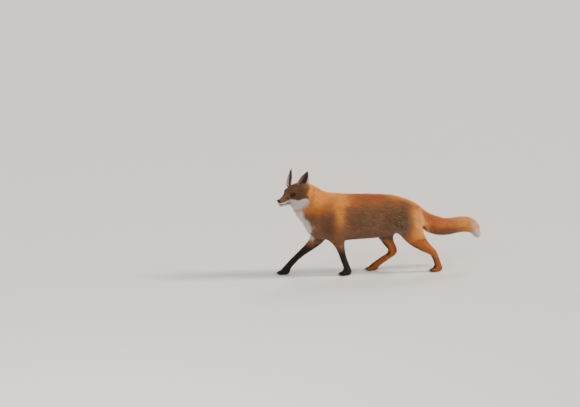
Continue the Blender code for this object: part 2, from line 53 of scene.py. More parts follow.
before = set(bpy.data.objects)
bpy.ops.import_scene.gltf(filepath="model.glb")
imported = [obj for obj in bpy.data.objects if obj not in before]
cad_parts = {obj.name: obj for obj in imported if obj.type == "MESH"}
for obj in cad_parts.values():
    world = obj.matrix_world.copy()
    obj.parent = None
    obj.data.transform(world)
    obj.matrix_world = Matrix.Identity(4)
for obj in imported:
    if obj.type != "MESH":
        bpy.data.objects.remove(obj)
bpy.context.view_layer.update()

LEGS = ("foreleg_left", "foreleg_right", "hindleg_left", "hindleg_right")
PAWS = ("forepaw_left", "forepaw_right", "hindpaw_left", "hindpaw_right")
FLESH = ("trunk", "neck", "head", "jaw", "tail", "tail_tip", *LEGS, *PAWS)

UP = np.array([0, 0, 1.0])
SKIN_VOXEL = 0.0036
SINK_ROUNDS = 8
STEP = 0.003  # how far a lock's path goes along the outline before it looks again which way the coat lies

# Each node's coat: its depth, its locks' length and width, and how many grow on a square centimetre.
COAT = {
    "trunk": (0.0150, 0.036, 0.0021, 19.7),
    "neck": (0.0180, 0.040, 0.0021, 22.5),
    "head": (0.0060, 0.014, 0.0012, 80),
    "jaw": (0.0035, 0.009, 0.0011, 80),
    "tail": (0.0210, 0.048, 0.0023, 22),
    "tail_tip": (0.0180, 0.038, 0.0019, 30),
    "foreleg": (0.0050, 0.014, 0.0014, 56),
    "hindleg": (0.0055, 0.015, 0.0014, 56),
    "forepaw": (0.0020, 0.0060, 0.0011, 60),
    "hindpaw": (0.0020, 0.0060, 0.0011, 60),
}
LONG_NODES = ("trunk", "neck", "tail", "tail_tip")
TAIL_RUN = np.array([0.42, 0.06, -0.90])  # which way the brush at the end of the tail points
# Where the muscles part on the sides: each hollow's middle and reach along x and z, and how deep it is.
HOLLOWS = (
    (-0.138, 0.262, 0.055, 0.090, 0.0075),  # behind the shoulder
    (-0.292, 0.250, 0.034, 0.065, 0.0060),  # before the shoulder
    (0.022, 0.232, 0.062, 0.080, 0.0110),  # in the flank, before the thigh
    (0.168, 0.245, 0.026, 0.045, 0.0040),  # along the back of the thigh
)
GUARD_SHARE, STRAY_SHARE = 0.20, 0.04  # of all locks
LOCK_RIDGE = 0.40  # how high a lock's ridge stands, as a share of its width
# By its number of bends: stops along a lock's path, how far up the coat it is at each, its width at each
# ring, and how many neighbours' tips draw together.
LOCK_SHAPES = (((1.0,), (1.0,), (1.25,), 5), ((0.48, 1.0), (0.74, 1.0), (1.0, 0.86), 7))
HAIR_CLEARS_FLOOR = 0.003  # no hair grows lower than this
BAKE_PATCH = 0.003  # the size of each lock's patch on the unwrap
CHART_RIM = 0.008  # left free round each chart of the unwrap

# In the head's own frame: origin at the nose tip, +X back along the muzzle, +Y to its right, +Z up.
NOSE_AT = np.array([0.0055, 0.0, 0.0030])
NOSE_SIZE = np.array([0.0085, 0.0100, 0.0080])
NOSE_BOXINESS = 2.7  # 2 for a ball, more for a box
EYE_AT = np.array([0.0800, 0.0225, 0.0170])
EYE_RADIUS, EYE_DEEPER = 0.0088, 0.0011
CORNEA_BULGE, IRIS_SHARE = 0.05, 0.74  # as shares of the eye's radius
SLIT_FRONT, SLIT_BACK, SLIT_HIGH = 0.0098, 0.0082, 0.0047  # from the middle of the lids' opening to its edge
LIDS_DEEPER = 0.0052  # how much further the skin sinks under the lids' opening
MOUTH_HEIGHT, MOUTH_CORNER, MOUTH_SLOPE = -0.0160, 0.058, 0.09
LIP_RADIUS, WHISKER_RADIUS = 0.0019, 0.00030
EAR_ROOT = (0.1265, 0.0330, 0.0370)
EAR_LENGTH, EAR_HALF_WIDTH, EAR_CUP = 0.091, 0.0320, 0.0190
EAR_THICKNESS, EAR_EDGE = 0.0048, 0.0016
EAR_FOOT, EAR_WIDE, EAR_TUCK = -0.12, 0.24, 0.80  # an ear narrows from wide to foot, by the tuck
# How each ear leans: outwards, backwards, and how far its hollow turns out from straight ahead, in degrees.
EARS = {"ear_left": (-1, 24, 16, 40), "ear_right": (1, 18, 30, 14)}
# How far each paw's toes turn out, in degrees.
PAW_TURN = {"forepaw_left": -4, "forepaw_right": 6, "hindpaw_left": -8, "hindpaw_right": 6}
TOE_REACH = 0.041  # from the middle of the main pad to the front of the toes
TOE_ROW = ((0.0170, -0.0145), (0.0245, -0.0052), (0.0245, 0.0052), (0.0170, 0.0145))
TOE_GAP_DEEP, TOE_GAP_REACH = 0.0032, 0.0046  # the furrow between two toes, and how far it reaches across
MAIN_PAD, TOE_PAD = (0.0095, 0.0100, 0.0032), (0.0060, 0.0038, 0.0028)  # half length, half width, height

# Colours of the small parts, in light's own measure.
PUPIL_COLOUR, EYE_RIM_COLOUR = (0.0015, 0.0012, 0.0012), (0.020, 0.012, 0.008)
WHISKER_COLOUR, CLAW_COLOUR = (0.02, 0.015, 0.012), (0.010, 0.008, 0.007)


# ---------------------------------------------------------------- small sums on arrays


def unit(v):
    return v / np.maximum(np.linalg.norm(v, axis=-1, keepdims=True), 1e-12)


def ramp(low, high, x):
    """0 up to low, 1 from high, and a smooth rise between; low above high turns it round."""
    t = np.clip((x - low) / (high - low), 0, 1)
    return t * t * (3 - 2 * t)


def bump(x, centre, reach):
    """1 at the centre, falling smoothly to nothing a reach away on both sides."""
    return ramp(1, 0, np.abs(x - centre) / reach)


def blob(points, centre, reach):
    """1 at the centre, falling smoothly to nothing on an ellipsoid round it."""
    return ramp(1, 0, np.linalg.norm((points - np.array(centre)) / np.array(reach), axis=-1))


def most(*layers):
    """The greatest of several layers at each point."""
    return np.maximum.reduce(layers)


def ripple(points, size, seed):
    """A smooth waviness of about -1 to 1: a few sine waves of about that length in random directions."""
    rng = np.random.default_rng(seed)
    waves = unit(rng.normal(size=(7, 3))) * rng.uniform(0.7, 1.4, (7, 1)) * 2 * math.pi / size
    return np.sin(points @ waves.T + rng.uniform(0, 2 * math.pi, 7)).sum(1) / 4


def mixed(a, b, share):
    return a + (b - a) * share


def turned(v, axis, angle):
    """Vectors turned by angles round unit axes at right angles to them."""
    return v * np.cos(angle)[:, None] + np.cross(axis, v) * np.sin(angle)[:, None]


def mesh_points(mesh):
    points = np.empty(len(mesh.vertices) * 3, np.float32)
    mesh.vertices.foreach_get("co", points)
    return points.reshape(-1, 3).astype(float)


def neighbours(count, edges, widest=9):
    """For each vertex the vertices that it shares an edge with, padded with itself to one width."""
    pairs = np.vstack([edges, edges[:, ::-1]])
    pairs = pairs[np.argsort(pairs[:, 0], kind="stable")]
    place = np.arange(len(pairs)) - np.searchsorted(pairs[:, 0], pairs[:, 0])
    pairs, place = pairs[place < widest], place[place < widest]
    table = np.tile(np.arange(count)[:, None], (1, widest))
    table[pairs[:, 0], place] = pairs[:, 1]
    return table


def evened(values, around, rounds, share=0.5):
    """Values drawn towards their neighbours' mean, again and again."""
    for _ in range(rounds):
        values = values + share * (values[around].mean(axis=1) - values)
    return values


def normals_of(points, triangles):
    """Each vertex's normal: the sum of its triangles' cross products."""
    a, b, c = points[triangles[:, 0]], points[triangles[:, 1]], points[triangles[:, 2]]
    across = np.cross(b - a, c - a)
    total = np.zeros_like(points)
    for corner in triangles.T:
        for axis in range(3):
            total[:, axis] += np.bincount(corner, across[:, axis], len(points))
    return unit(total)


def flattened(v, normals):
    """The part of each vector at right angles to its normal, of length 1."""
    return unit(v - (v * normals).sum(-1, keepdims=True) * normals)


# ---------------------------------------------------------------- the head's frame


def box_centre(node):
    low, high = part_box(node)
    return np.array((low + high) / 2)


@lru_cache(maxsize=1)
def head_axes():
    """The head's frame from its nose and eyes: the line from the nose to the midpoint of the eyes, turned
    down by the angle that it has in the head's own frame."""
    left, right, nose = box_centre("eye_left"), box_centre("eye_right"), box_centre("nose")
    sideways = unit(right - left)
    back = unit((left + right) / 2 - nose)
    above = np.cross(back, sideways)
    tilt = math.atan2(EYE_AT[2] - NOSE_AT[2], EYE_AT[0] - NOSE_AT[0])
    ahead = math.cos(tilt) * back - math.sin(tilt) * above
    above = math.sin(tilt) * back + math.cos(tilt) * above
    axes = np.array([ahead, sideways, above])
    return axes, nose - NOSE_AT @ axes


def to_head(points):
    axes, origin = head_axes()
    return (points - origin) @ axes.T


def from_head(points):
    axes, origin = head_axes()
    return np.asarray(points) @ axes + origin


def mirrored(local):
    """Points of the head's frame folded onto its right side."""
    return np.column_stack([local[:, 0], np.abs(local[:, 1]), local[:, 2]])


# ---------------------------------------------------------------- the outline, and what grows on it


@dataclass
class Outline:
    """A surface that hair grows on: its outline out to the hair's tips, and the skin under it."""

    outer: np.ndarray  # the coat's outline
    inner: np.ndarray  # the skin
    triangles: np.ndarray
    around: np.ndarray
    lie: np.ndarray  # which way the hair runs
    length: np.ndarray
    width: np.ndarray
    crowd: np.ndarray  # locks on a square centimetre
    # The gold in warm is painted sunlight.
    warm: np.ndarray  # shares of rust, gold and brown
    cool: np.ndarray  # shares of grey, pale and dark
    node: np.ndarray  # which part it belongs to, as a number
    proud: np.ndarray  # how far the tips stand above the outline
    hold: np.ndarray  # 1 where the hair keeps to the outline, 0 where it runs straight on past its end


def joined_flesh():
    """The flesh nodes with eyes and nose in one mesh, its loose triangles merged."""
    bm = bmesh.new()
    for name in (*FLESH, "eye_left", "eye_right", "nose"):
        bm.from_mesh(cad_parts[name].data)
    bmesh.ops.remove_doubles(bm, verts=bm.verts, dist=1e-5)
    mesh = bpy.data.meshes.new("flesh")
    bm.to_mesh(mesh)
    bm.free()
    return mesh


def modified(mesh, kind, **settings):
    """The mesh after one modifier."""
    helper = bpy.data.objects.new("helper", mesh)
    bpy.context.scene.collection.objects.link(helper)
    modifier = helper.modifiers.new(kind, kind)
    for name, value in settings.items():
        setattr(modifier, name, value)
    graph = bpy.context.evaluated_depsgraph_get()
    made = bpy.data.meshes.new_from_object(helper.evaluated_get(graph))
    bpy.data.objects.remove(helper)
    return made


def nearest_nodes(points, reach=0.02, batch=1500):
    """Which flesh node each point lies nearest to, as a number in FLESH: each node's triangle middles are
    measured against the points in its own box, a little grown, a batch at a time."""
    least = np.full(len(points), np.inf)
    found = np.zeros(len(points), int)
    for number, name in enumerate(FLESH):
        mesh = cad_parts[name].data
        samples = mesh_points(mesh)[loop_triangles(mesh)].mean(axis=1)
        low, high = samples.min(0) - reach, samples.max(0) + reach
        near = np.flatnonzero(((points > low) & (points < high)).all(axis=1))
        for part in np.array_split(near, 1 + len(near) // batch):
            here = points[part]
            gap = ((samples**2).sum(1) - 2 * here @ samples.T).min(axis=1) + (here**2).sum(1)
            closer = gap < least[part]
            least[part[closer]] = gap[closer]
            found[part[closer]] = number
    return found


def loop_triangles(mesh):
    mesh.calc_loop_triangles()
    corners = np.empty(len(mesh.loop_triangles) * 3, np.int32)
    mesh.loop_triangles.foreach_get("vertices", corners)
    return corners.reshape(-1, 3)


def edges_of(mesh):
    pairs = np.empty(len(mesh.edges) * 2, np.int32)
    mesh.edges.foreach_get("vertices", pairs)
    return pairs.reshape(-1, 2)


def refined(mesh, fine):
    """The mesh with every edge between fine vertices halved, which splits their faces in four, and with only
    the piece kept that holds its highest vertex."""
    bm = bmesh.new()
    bm.from_mesh(mesh)
    bm.verts.ensure_lookup_table()
    edges = [e for e in bm.edges if fine[e.verts[0].index] and fine[e.verts[1].index]]
    bmesh.ops.subdivide_edges(bm, edges=edges, cuts=1, use_grid_fill=True)
    start = max(bm.verts, key=lambda v: v.co.z)
    reached, edge = {start}, [start]
    while edge:
        fresh = {e.other_vert(v) for v in edge for e in v.link_edges} - reached
        reached |= fresh
        edge = list(fresh)
    bmesh.ops.delete(bm, geom=[v for v in bm.verts if v not in reached], context="VERTS")
    bm.to_mesh(mesh)
    bm.free()


def node_share(share, *names):
    """The share of each point that belongs to these flesh nodes."""
    return sum(share[:, FLESH.index(name)] for name in names)


def centre_line(*nodes, along, degree):
    """The way a limb runs, from its middle as a polynomial of the place along one axis."""
    points = np.vstack([mesh_points(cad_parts[name].data) for name in nodes])
    others = [axis for axis in range(3) if axis != along]
    fits = {axis: np.polyfit(points[:, along], points[:, axis], degree) for axis in others}

    def way(place):
        made = np.ones((len(place), 3))
        for axis, fit in fits.items():
            made[:, axis] = np.polyval(np.polyder(fit), place)
        return unit(made)

    return way


def tail_end():
    """The lowest point of the tail's tip."""
    points = mesh_points(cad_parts["tail_tip"].data)
    return points[points[:, 2] < points[:, 2].min() + 0.004].mean(axis=0)


def lie_of_coat(points, normals, share, around):
    """Which way the hair runs: back along the head, down the neck and the legs, back along the trunk, out
    along the tail and forwards over the paws, each blended into the next."""
    x, y, z = points.T
    side = np.abs(normals[:, 1])
    trunk = np.column_stack([np.ones_like(x), 0 * x, -0.30 * side])
    down = np.tile([0.18, 0.0, -1.0], (len(x), 1))
    trunk = mixed(trunk, down, ramp(-0.22, -0.33, x)[:, None] * 0.9)
    low = ramp(0.27, 0.17, z) * ramp(0.015, 0.045, np.abs(y))
    low = low * most(bump(x, -0.25, 0.14), bump(x, 0.11, 0.16))
    trunk = mixed(trunk, down, low[:, None] * 0.9)
    neck = np.tile([0.74, 0.0, -0.67], (len(x), 1))
    front = ramp(0.1, 0.7, -normals[:, 0] * 0.7 - normals[:, 2] * 0.7)
    neck = mixed(neck, np.array([0.25, 0.0, -1.0]), front[:, None])
    lie = trunk * node_share(share, "trunk")[:, None] + neck * node_share(share, "neck")[:, None]

    local = to_head(points)
    ahead = unit(local * [1, 1.0, 0.6] + [0.028, 0, 0])
    cheek = blob(mirrored(local), (0.125, 0.045, -0.015), (0.045, 0.035, 0.035))
    ahead += cheek[:, None] * np.column_stack([0.2 + 0 * x, 0.55 * np.sign(local[:, 1]), -0.45 + 0 * x])
    lie += (ahead @ head_axes()[0]) * node_share(share, "head", "jaw")[:, None]
    end = tail_end()
    tail = centre_line("tail", "tail_tip", along=0, degree=3)(x)
    past = end + TAIL_RUN * 0.030 - points
    tail = mixed(tail, unit(past), ramp(0.085, 0.030, np.linalg.norm(points - end, axis=1))[:, None])
    lie += tail * node_share(share, "tail", "tail_tip")[:, None]
    for leg, paw in zip(LEGS, PAWS):
        way = -centre_line(leg, paw, along=2, degree=4)(np.clip(z, 0.03, 0.17))
        lie += way * node_share(share, leg)[:, None]
        over = paw_axes(paw)[1] + [0, 0, -0.35]
        lie += mixed(over, way, ramp(0.025, 0.06, z)[:, None]) * node_share(share, paw)[:, None]
    for _ in range(6):
        lie = evened(flattened(lie, normals), around, 3)
    return flattened(lie, normals)


def eye_axes(side):
    """An eye's own frame in the head's: where it looks, along its slit towards the ear, and up."""
    gaze = unit(np.array([-0.70, side * 0.66, 0.10]))
    slit = flattened(np.array([0.80, side * 0.50, 0.34]), gaze)
    up = np.cross(gaze, slit)
    return np.array([gaze, slit, up * np.sign(up[2])])


def almond(bearing):
    """How far the lids' opening reaches from its middle in each direction: an ellipse, longer towards the
    nose, whose ends are drawn to points."""
    wide = np.where(np.cos(bearing) < 0, SLIT_FRONT, SLIT_BACK)
    turn = np.arctan2(np.sin(bearing) / SLIT_HIGH, np.cos(bearing) / wide)
    return np.hypot(wide * np.cos(turn), SLIT_HIGH * np.sin(turn) * (1 - 0.34 * np.cos(turn) ** 2))


def beyond_lids(points):
    """How many times as far as the lids' edge each point is from the middle of the nearer eye's opening."""
    local = (mirrored(to_head(points)) - EYE_AT) @ eye_axes(1).T
    away = np.hypot(local[:, 1], local[:, 2])
    off = np.arctan2(away, local[:, 0]) * EYE_RADIUS + np.maximum(away - EYE_RADIUS, 0)
    return off / almond(np.arctan2(local[:, 2], local[:, 1]))


def coat_sizes(points, normals, share):
    """Depth, length, width and crowd of the hair at each point of the outline."""
    table = np.array([COAT[name.removesuffix("_left").removesuffix("_right")] for name in FLESH])
    depth, length, width, crowd = (share @ table).T
    _, y, z = points.T
    trunk = node_share(share, "trunk")
    thin = trunk * ramp(0.26, 0.17, z) * ramp(0.02, 0.05, np.abs(y))
    belly = trunk * ramp(-0.4, -0.9, normals[:, 2])
    end = node_share(share, "tail_tip") * ramp(0.050, 0.020, np.linalg.norm(points - tail_end(), axis=1))
    depth = mixed(mixed(depth, 0.007, thin), 0.010, belly)
    length = mixed(mixed(mixed(length, 0.020, thin), 0.030, belly), 0.017, end)
    width = mixed(width, 0.0017, thin)
    crowd = mixed(crowd, 34, thin)

    local = mirrored(to_head(points))
    lids = beyond_lids(points)
    face = node_share(share, "head", "jaw")
    back = ramp(0.045, 0.125, local[:, 0])
    cheek = blob(local, (0.125, 0.045, -0.018), (0.045, 0.035, 0.035))
    eye = ramp(3.0, 1.2, lids)
    depth = mixed(depth, (0.0018 + 0.0055 * back + 0.007 * cheek) * (1 - 0.62 * eye), face)
    length = mixed(length, (0.0045 + 0.0100 * back + 0.013 * cheek) * (1 - 0.55 * eye), face)
    width = mixed(width, (0.00090 + 0.0005 * back + 0.0004 * cheek) * (1 - 0.15 * eye), face)
    crowd = mixed(crowd, 150 - 62 * back - 24 * cheek + 20 * eye, face)
    nose = np.linalg.norm((local - NOSE_AT) / NOSE_SIZE, axis=1)
    return depth, length, width, crowd * ramp(0.98, 1.06, lids) * ramp(1.00, 1.08, nose)


def hollows(points, normals):
    """How far the outline is drawn in: on the sides where the muscles part, and between the toes."""
    flat = points * [1, 0, 1]
    drawn = sum(deep * blob(flat, (x, 0, z), (long, 1, high)) for x, z, long, high, deep in HOLLOWS)
    drawn = drawn * ramp(0.35, 0.85, np.abs(normals[:, 1]))
    for paw in PAWS:
        origin, ahead, right = paw_axes(paw)
        away = points - origin
        forward, across = away @ ahead, away @ right
        toes = ramp(0.004, 0.018, forward) * ramp(0.030, 0.024, np.abs(across))
        toes = toes * ramp(0.034, 0.022, points[:, 2])
        toes = toes * ramp(0.2, 0.6, np.abs(normals[:, 2] + normals @ ahead))
        for (_, one), (_, other) in zip(TOE_ROW, TOE_ROW[1:]):
            drawn = drawn + TOE_GAP_DEEP * toes * bump(across, (one + other) / 2, TOE_GAP_REACH)
    return drawn


def paw_axes(paw):
    """A paw's frame: the middle of its main pad on the floor, ahead to its toes, and to its own right."""
    low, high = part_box(paw)
    turn = math.radians(PAW_TURN[paw])
    ahead = np.array([-math.cos(turn), math.sin(turn), 0])
    right = np.array([math.sin(turn), math.cos(turn), 0])
    origin = np.array([low.x, (low.y + high.y) / 2, 0]) - ahead * TOE_REACH * 0.99
    return origin, ahead, right


def markings(points, normals, share):
    """Shares of the coat's colours over the orange ground: (rust, gold, brown) and (grey, pale, dark), with
    the gold and a few pale parts painted as sunlight.
    """
    x, y, z = points.T
    hx, hy, hz = mirrored(to_head(points)).T
    uneven = ripple(points, 0.075, 3) * 0.014 + ripple(points, 0.022, 4) * 0.006
    wavy_x, wavy_z = x + uneven, z + uneven
    facing_ahead, facing_up = -normals[:, 0], normals[:, 2]
    trunk, neck = node_share(share, "trunk"), node_share(share, "neck")
    head, tail = node_share(share, "head", "jaw"), node_share(share, "tail", "tail_tip")
    fore, hind = (node_share(share, *LEGS[legs], *PAWS[legs]) for legs in (slice(0, 2), slice(2, 4)))
    body = trunk + neck
    flat = points * [1, 0, 1]
    thigh = wavy_x + 0.5 * (z - 0.25)  # how far back on the thigh, whose rear edge leans forwards as it rises
    # A painted sunlit patch on the shoulder blade: gold over it, and less brown under it.
    shoulder = blob(flat, (-0.220, 0, 0.296), (0.050, 1, 0.105))
    ahead = ramp(-0.10, -0.22, x)
    low = ramp(0, 1, (0.392 - 0.038 * ahead - wavy_z) / (0.075 - 0.022 * ahead))
    flank = trunk * ramp(-0.22, -0.10, x) * ramp(0.15, 0.05, x) * ramp(0.37, 0.28, wavy_z)
    belly = trunk * ramp(-0.60, -0.95, facing_up)
    cheek = ramp(-0.085, -0.060, hz) * ramp(0.088, 0.104, hx) * ramp(0.032, 0.046, hy)
    throat = neck * ramp(0.42, 0.72, 0.75 * facing_ahead - 0.65 * facing_up + uneven * 6)
    elbow = bump(x, -0.25, 0.13) * ramp(0.200, 0.150, wavy_z) * ramp(0.01, 0.03, np.abs(y))
    shin = ramp(0.0, 0.75, facing_ahead + uneven * 6) * ramp(0.200, 0.12, z)
    from_end = np.linalg.norm(points - tail_end(), axis=1)

    rust = most(
        0.85 * body * ramp(0.300, 0.385, wavy_z) * ramp(-0.26, -0.12, wavy_x),
        0.55 * tail * ramp(0.1, 0.8, facing_up) * ramp(0.40, 0.30, x),
    )
    # Painted sunlight, as gold: over the top of the neck and the withers, the shoulder, the back of the
    # thigh, the top of the rump and the end of the tail.
    sunlit_gold = most(
        neck * ramp(0.315, 0.395, wavy_z),
        0.90 * trunk * ramp(0.29, 0.38, wavy_z) * ramp(-0.10, -0.24, wavy_x),
        0.85 * body * shoulder,
        # Painted sunlight: gold down the back of the thigh.
        0.90 * trunk * ramp(0.070, 0.165, thigh) * ramp(0.36, 0.29, z),
        # A painted highlight: gold over the top of the rump, where it faces up.
        0.55 * trunk * ramp(0.55, 0.95, facing_up) * ramp(-0.03, 0.05, wavy_x),
        0.80 * tail * ramp(0.28, 0.40, wavy_x),
    )
    brown = most(
        # Brown over the lower body, thinned under the painted sunlit shoulder patch.
        body * low * ramp(0.17, 0.08, x) * (0.92 - 0.60 * shoulder),
        0.90 * fore * ramp(0.10, 0.16, wavy_z),
        0.70 * tail * ramp(0.35, -0.5, facing_up) * ramp(0.42, 0.32, x),
    )
    grey = most(0.88 * trunk * blob(flat, (0.068, 0, 0.246), (0.092, 1, 0.095)), 0.30 * flank)
    grey = most(
        np.clip(grey + 0.16 * flank * ripple(points, 0.03, 5), 0, 1),
        0.55 * belly,
        0.30 * tail * ramp(0.1, -0.8, facing_up),
    )
    chest = most(
        throat * ramp(-0.022, -0.042, hz) * (1 - cheek),
        trunk * ramp(0.60, 0.86, facing_ahead + uneven * 4) * ramp(-0.24, -0.29, x),
        0.35 * belly,
    )
    pale = most(
        chest * ramp(0.150, 0.200, z),
        # A painted highlight: pale down the back of the thigh.
        0.22 * trunk * ramp(0.105, 0.150, thigh) * ramp(0.33, 0.28, z) * ramp(0.20, 0.24, z),
        tail * ramp(0.092, 0.050, from_end + uneven),
        0.42 * tail * ramp(0.38, 0.44, wavy_x),
        # A painted highlight: pale along the top of the tail, where it faces up.
        0.26 * tail * ramp(0.15, 0.90, facing_up) * ramp(0.27, 0.36, wavy_x),
    )
    dark = most(
        fore * ramp(0.185, 0.105, wavy_z),
        0.45 * trunk * elbow,
        0.44 * body * blob(flat, (-0.270, 0, 0.238), (0.066, 1, 0.120)),
        0.32 * trunk * blob(flat, (-0.190, 0, 0.190), (0.060, 1, 0.060)),
        0.85 * shin * (hind + 0.5 * trunk * ramp(0.0, 0.1, x)),
        0.30 * node_share(share, *PAWS[2:]),
    )
    pairs = zip((sunlit_gold, brown, pale, dark), face_markings(points, uneven))
    sunlit_gold, brown, pale, dark = (most(off * (1 - head), on * head) for off, on in pairs)
    warm = np.column_stack([rust, sunlit_gold, brown])
    cool = np.column_stack([grey, pale, dark])
    return np.clip(warm, 0, 1), np.clip(cool, 0, 1)


def face_markings(points, uneven):
    """The head's own shares of gold, brown, pale and dark: white cheeks and lips, dark before and round the
    eyes and along the mouth, painted shade over the front of the face, brown over the rest, and gold behind
    the ears as painted sunlight."""
    local = mirrored(to_head(points))
    x, _, z = local.T
    edge = -0.0048 - 0.0035 * ramp(0.03, 0.070, x) - 0.026 * ramp(0.098, 0.146, x)
    pale = ramp(0.0035, -0.0035, z - edge + uneven * 0.3) * ramp(0.114, 0.096, x + uneven)
    shade = most(
        0.90 * blob(local, (0.050, 0.014, 0.0065), (0.036, 0.018, 0.0140)),
        blob(local, EYE_AT + [-0.009, 0.004, -0.003], (0.025, 0.018, 0.0165)),
        0.60 * blob(local, (0.064, 0.010, 0.018), (0.036, 0.030, 0.024)),
        # Painted shade: the whole front of the face a little darker.
        0.38 * ramp(0.116, 0.094, x),
    )
    lips = bump(z, MOUTH_HEIGHT - MOUTH_SLOPE * x, 0.0052)
    lips = lips * ramp(MOUTH_CORNER + 0.006, MOUTH_CORNER - 0.004, x)
    dark = most(shade * (1 - 0.9 * pale), 0.95 * lips, ramp(1.45, 1.12, beyond_lids(points)))
    behind = x + uneven - 0.024 * ramp(0.010, 0.040, z)
    brown = 0.92 * (1 - pale) * ramp(0.114, 0.094, behind)
    # Painted sunlight: gold over the back of the head, behind the ears.
    sunlit_gold = 0.90 * (1 - pale) * ramp(0.096, 0.116, behind)
    return sunlit_gold, brown, pale, dark


@lru_cache(maxsize=1)
def body_outline():
    """The whole body's outline as one even mesh, and the skin under it."""
    mesh = modified(joined_flesh(), "REMESH", mode="VOXEL", voxel_size=SKIN_VOXEL)
    fine = np.isin(nearest_nodes(mesh_points(mesh)), [FLESH.index(n) for n in ("head", "jaw", *PAWS)])
    refined(mesh, fine)
    triangles = loop_triangles(mesh)
    outer = mesh_points(mesh)
    around = neighbours(len(outer), edges_of(mesh))
    node = nearest_nodes(outer)
    share = evened(np.eye(len(FLESH))[node], around, 14)
    small = node_share(share, *PAWS)[:, None]
    outer = mixed(evened(outer, around, 6), evened(outer, around, 2), small)
    outer[:, 2] = np.maximum(outer[:, 2], 0)
    normals = unit(evened(normals_of(outer, triangles), around, 3))
    outer = outer - normals * hollows(outer, normals)[:, None]
    depth, length, width, crowd = coat_sizes(outer, normals, share)
    inner = outer.copy()
    for _ in range(SINK_ROUNDS):
        inner -= normals_of(inner, triangles) * (depth / SINK_ROUNDS)[:, None]
        inner = evened(inner, around, 1, 0.25)
    inner -= normals * (LIDS_DEEPER * ramp(1.30, 1.0, beyond_lids(outer)))[:, None]
    warm, cool = markings(outer, unit(evened(normals, around, 14)), share)
    lie = lie_of_coat(outer, normals, share, around)
    free = node_share(share, "tail_tip") * ramp(0.034, 0.020, np.linalg.norm(outer - tail_end(), axis=1))
    lie = unit(mixed(lie, unit(TAIL_RUN), free[:, None]))
    ear_root = np.array(EAR_ROOT) + [0.004, 0.0, -0.004]
    proud = 0.0050 * blob(mirrored(to_head(outer)), ear_root, (0.034, 0.030, 0.030))
    sizes = (length, width, crowd)
    return Outline(outer, inner, triangles, around, lie, *sizes, warm, cool, node, proud, 1 - free), mesh


# ---------------------------------------------------------------- meshes


def new_piece(name, points, corners, starts, material, slot):
    """A piece from flat arrays: each face's corners one after another, and where each face starts."""
    mesh = bpy.data.meshes.new(name)
    mesh.vertices.add(len(points))
    mesh.vertices.foreach_set("co", np.ascontiguousarray(points, np.float32).ravel())
    mesh.loops.add(len(corners))
    mesh.loops.foreach_set("vertex_index", np.ascontiguousarray(corners, np.int32))
    mesh.polygons.add(len(starts))
    mesh.polygons.foreach_set("loop_start", np.ascontiguousarray(starts, np.int32))
    mesh.update(calc_edges=True)
    mesh.shade_smooth()
    piece = bpy.data.objects.new(name, mesh)
    bpy.context.scene.collection.objects.link(piece)
    mesh.materials.append(material)
    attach(piece, "root")
    return piece


def quads_of(rows, columns, closed=True):
    """The quads of a grid of points, row after row, its last column joined to its first if it is closed."""
    r, c = np.meshgrid(np.arange(rows - 1), np.arange(columns if closed else columns - 1), indexing="ij")
    ahead = (c + 1) % columns
    quads = [r * columns + c, r * columns + ahead, (r + 1) * columns + ahead, (r + 1) * columns + c]
    return np.stack(quads, -1).reshape(-1, 4)


def grid_piece(name, grids, material, slot, close=(True, True)):
    """Like sheets of quads in one piece, each a grid of points, rows by columns by 3. Columns are closed into
    a tube, and the first and last rows into caps, where close says so."""
    points, corners, starts = [], [], []
    loops = base = 0
    for grid in grids:
        rows, columns = grid.shape[:2]
        quads = quads_of(rows, columns, close[0])
        corners.append((quads + base).ravel())
        starts.append(loops + 4 * np.arange(len(quads)))
        loops += 4 * len(quads)
        if close[1]:
            for cap in (np.arange(columns)[::-1], (rows - 1) * columns + np.arange(columns)):
                corners.append(cap + base)
                starts.append(np.array([loops]))
                loops += columns
        points.append(grid.reshape(-1, 3))
        base += rows * columns
    flat = (np.concatenate(part) for part in (points, corners, starts))
    piece = new_piece(name, *flat, material, slot)
    outwards(piece.data)
    return piece


def outwards(mesh):
    """Turns every closed shell's faces out."""
    bm = bmesh.new()
    bm.from_mesh(mesh)
    bmesh.ops.recalc_face_normals(bm, faces=bm.faces)
    bm.to_mesh(mesh)
    bm.free()


def set_vectors(mesh, name, values):
    """An attribute of three numbers at each vertex."""
    made = mesh.attributes.new(name, "FLOAT_VECTOR", "POINT")
    made.data.foreach_set("vector", np.ascontiguousarray(values, np.float32).ravel())


def set_map(mesh, name, values):
    """A UV map from two numbers at each face corner."""
    made = mesh.uv_layers.new(name=name)
    made.data.foreach_set("uv", np.ascontiguousarray(values, np.float32).ravel())


def tube(path, radius, sides):
    """Rings of a round profile carried along a path, at right angles to it."""
    ahead = unit(np.gradient(path, axis=0))
    side = unit(np.cross(ahead, [0.31, 0.27, 0.91]))
    above = np.cross(ahead, side)
    angle = np.linspace(0, 2 * math.pi, sides, endpoint=False)[None, :, None]
    ring = np.cos(angle) * side[:, None] + np.sin(angle) * above[:, None]
    return path[:, None] + ring * np.asarray(radius)[:, None, None]


def ball(rows, columns):
    """Rings of a ball of radius 1 along X, from pole to pole, a little short of the poles."""
    polar = np.linspace(0.02, math.pi - 0.02, rows)[:, None]
    angle = np.linspace(0, 2 * math.pi, columns, endpoint=False)[None, :]
    out = np.sin(polar)
    return np.stack([np.cos(polar) + 0 * angle, out * np.cos(angle), out * np.sin(angle)], -1)


# ---------------------------------------------------------------- locks of hair


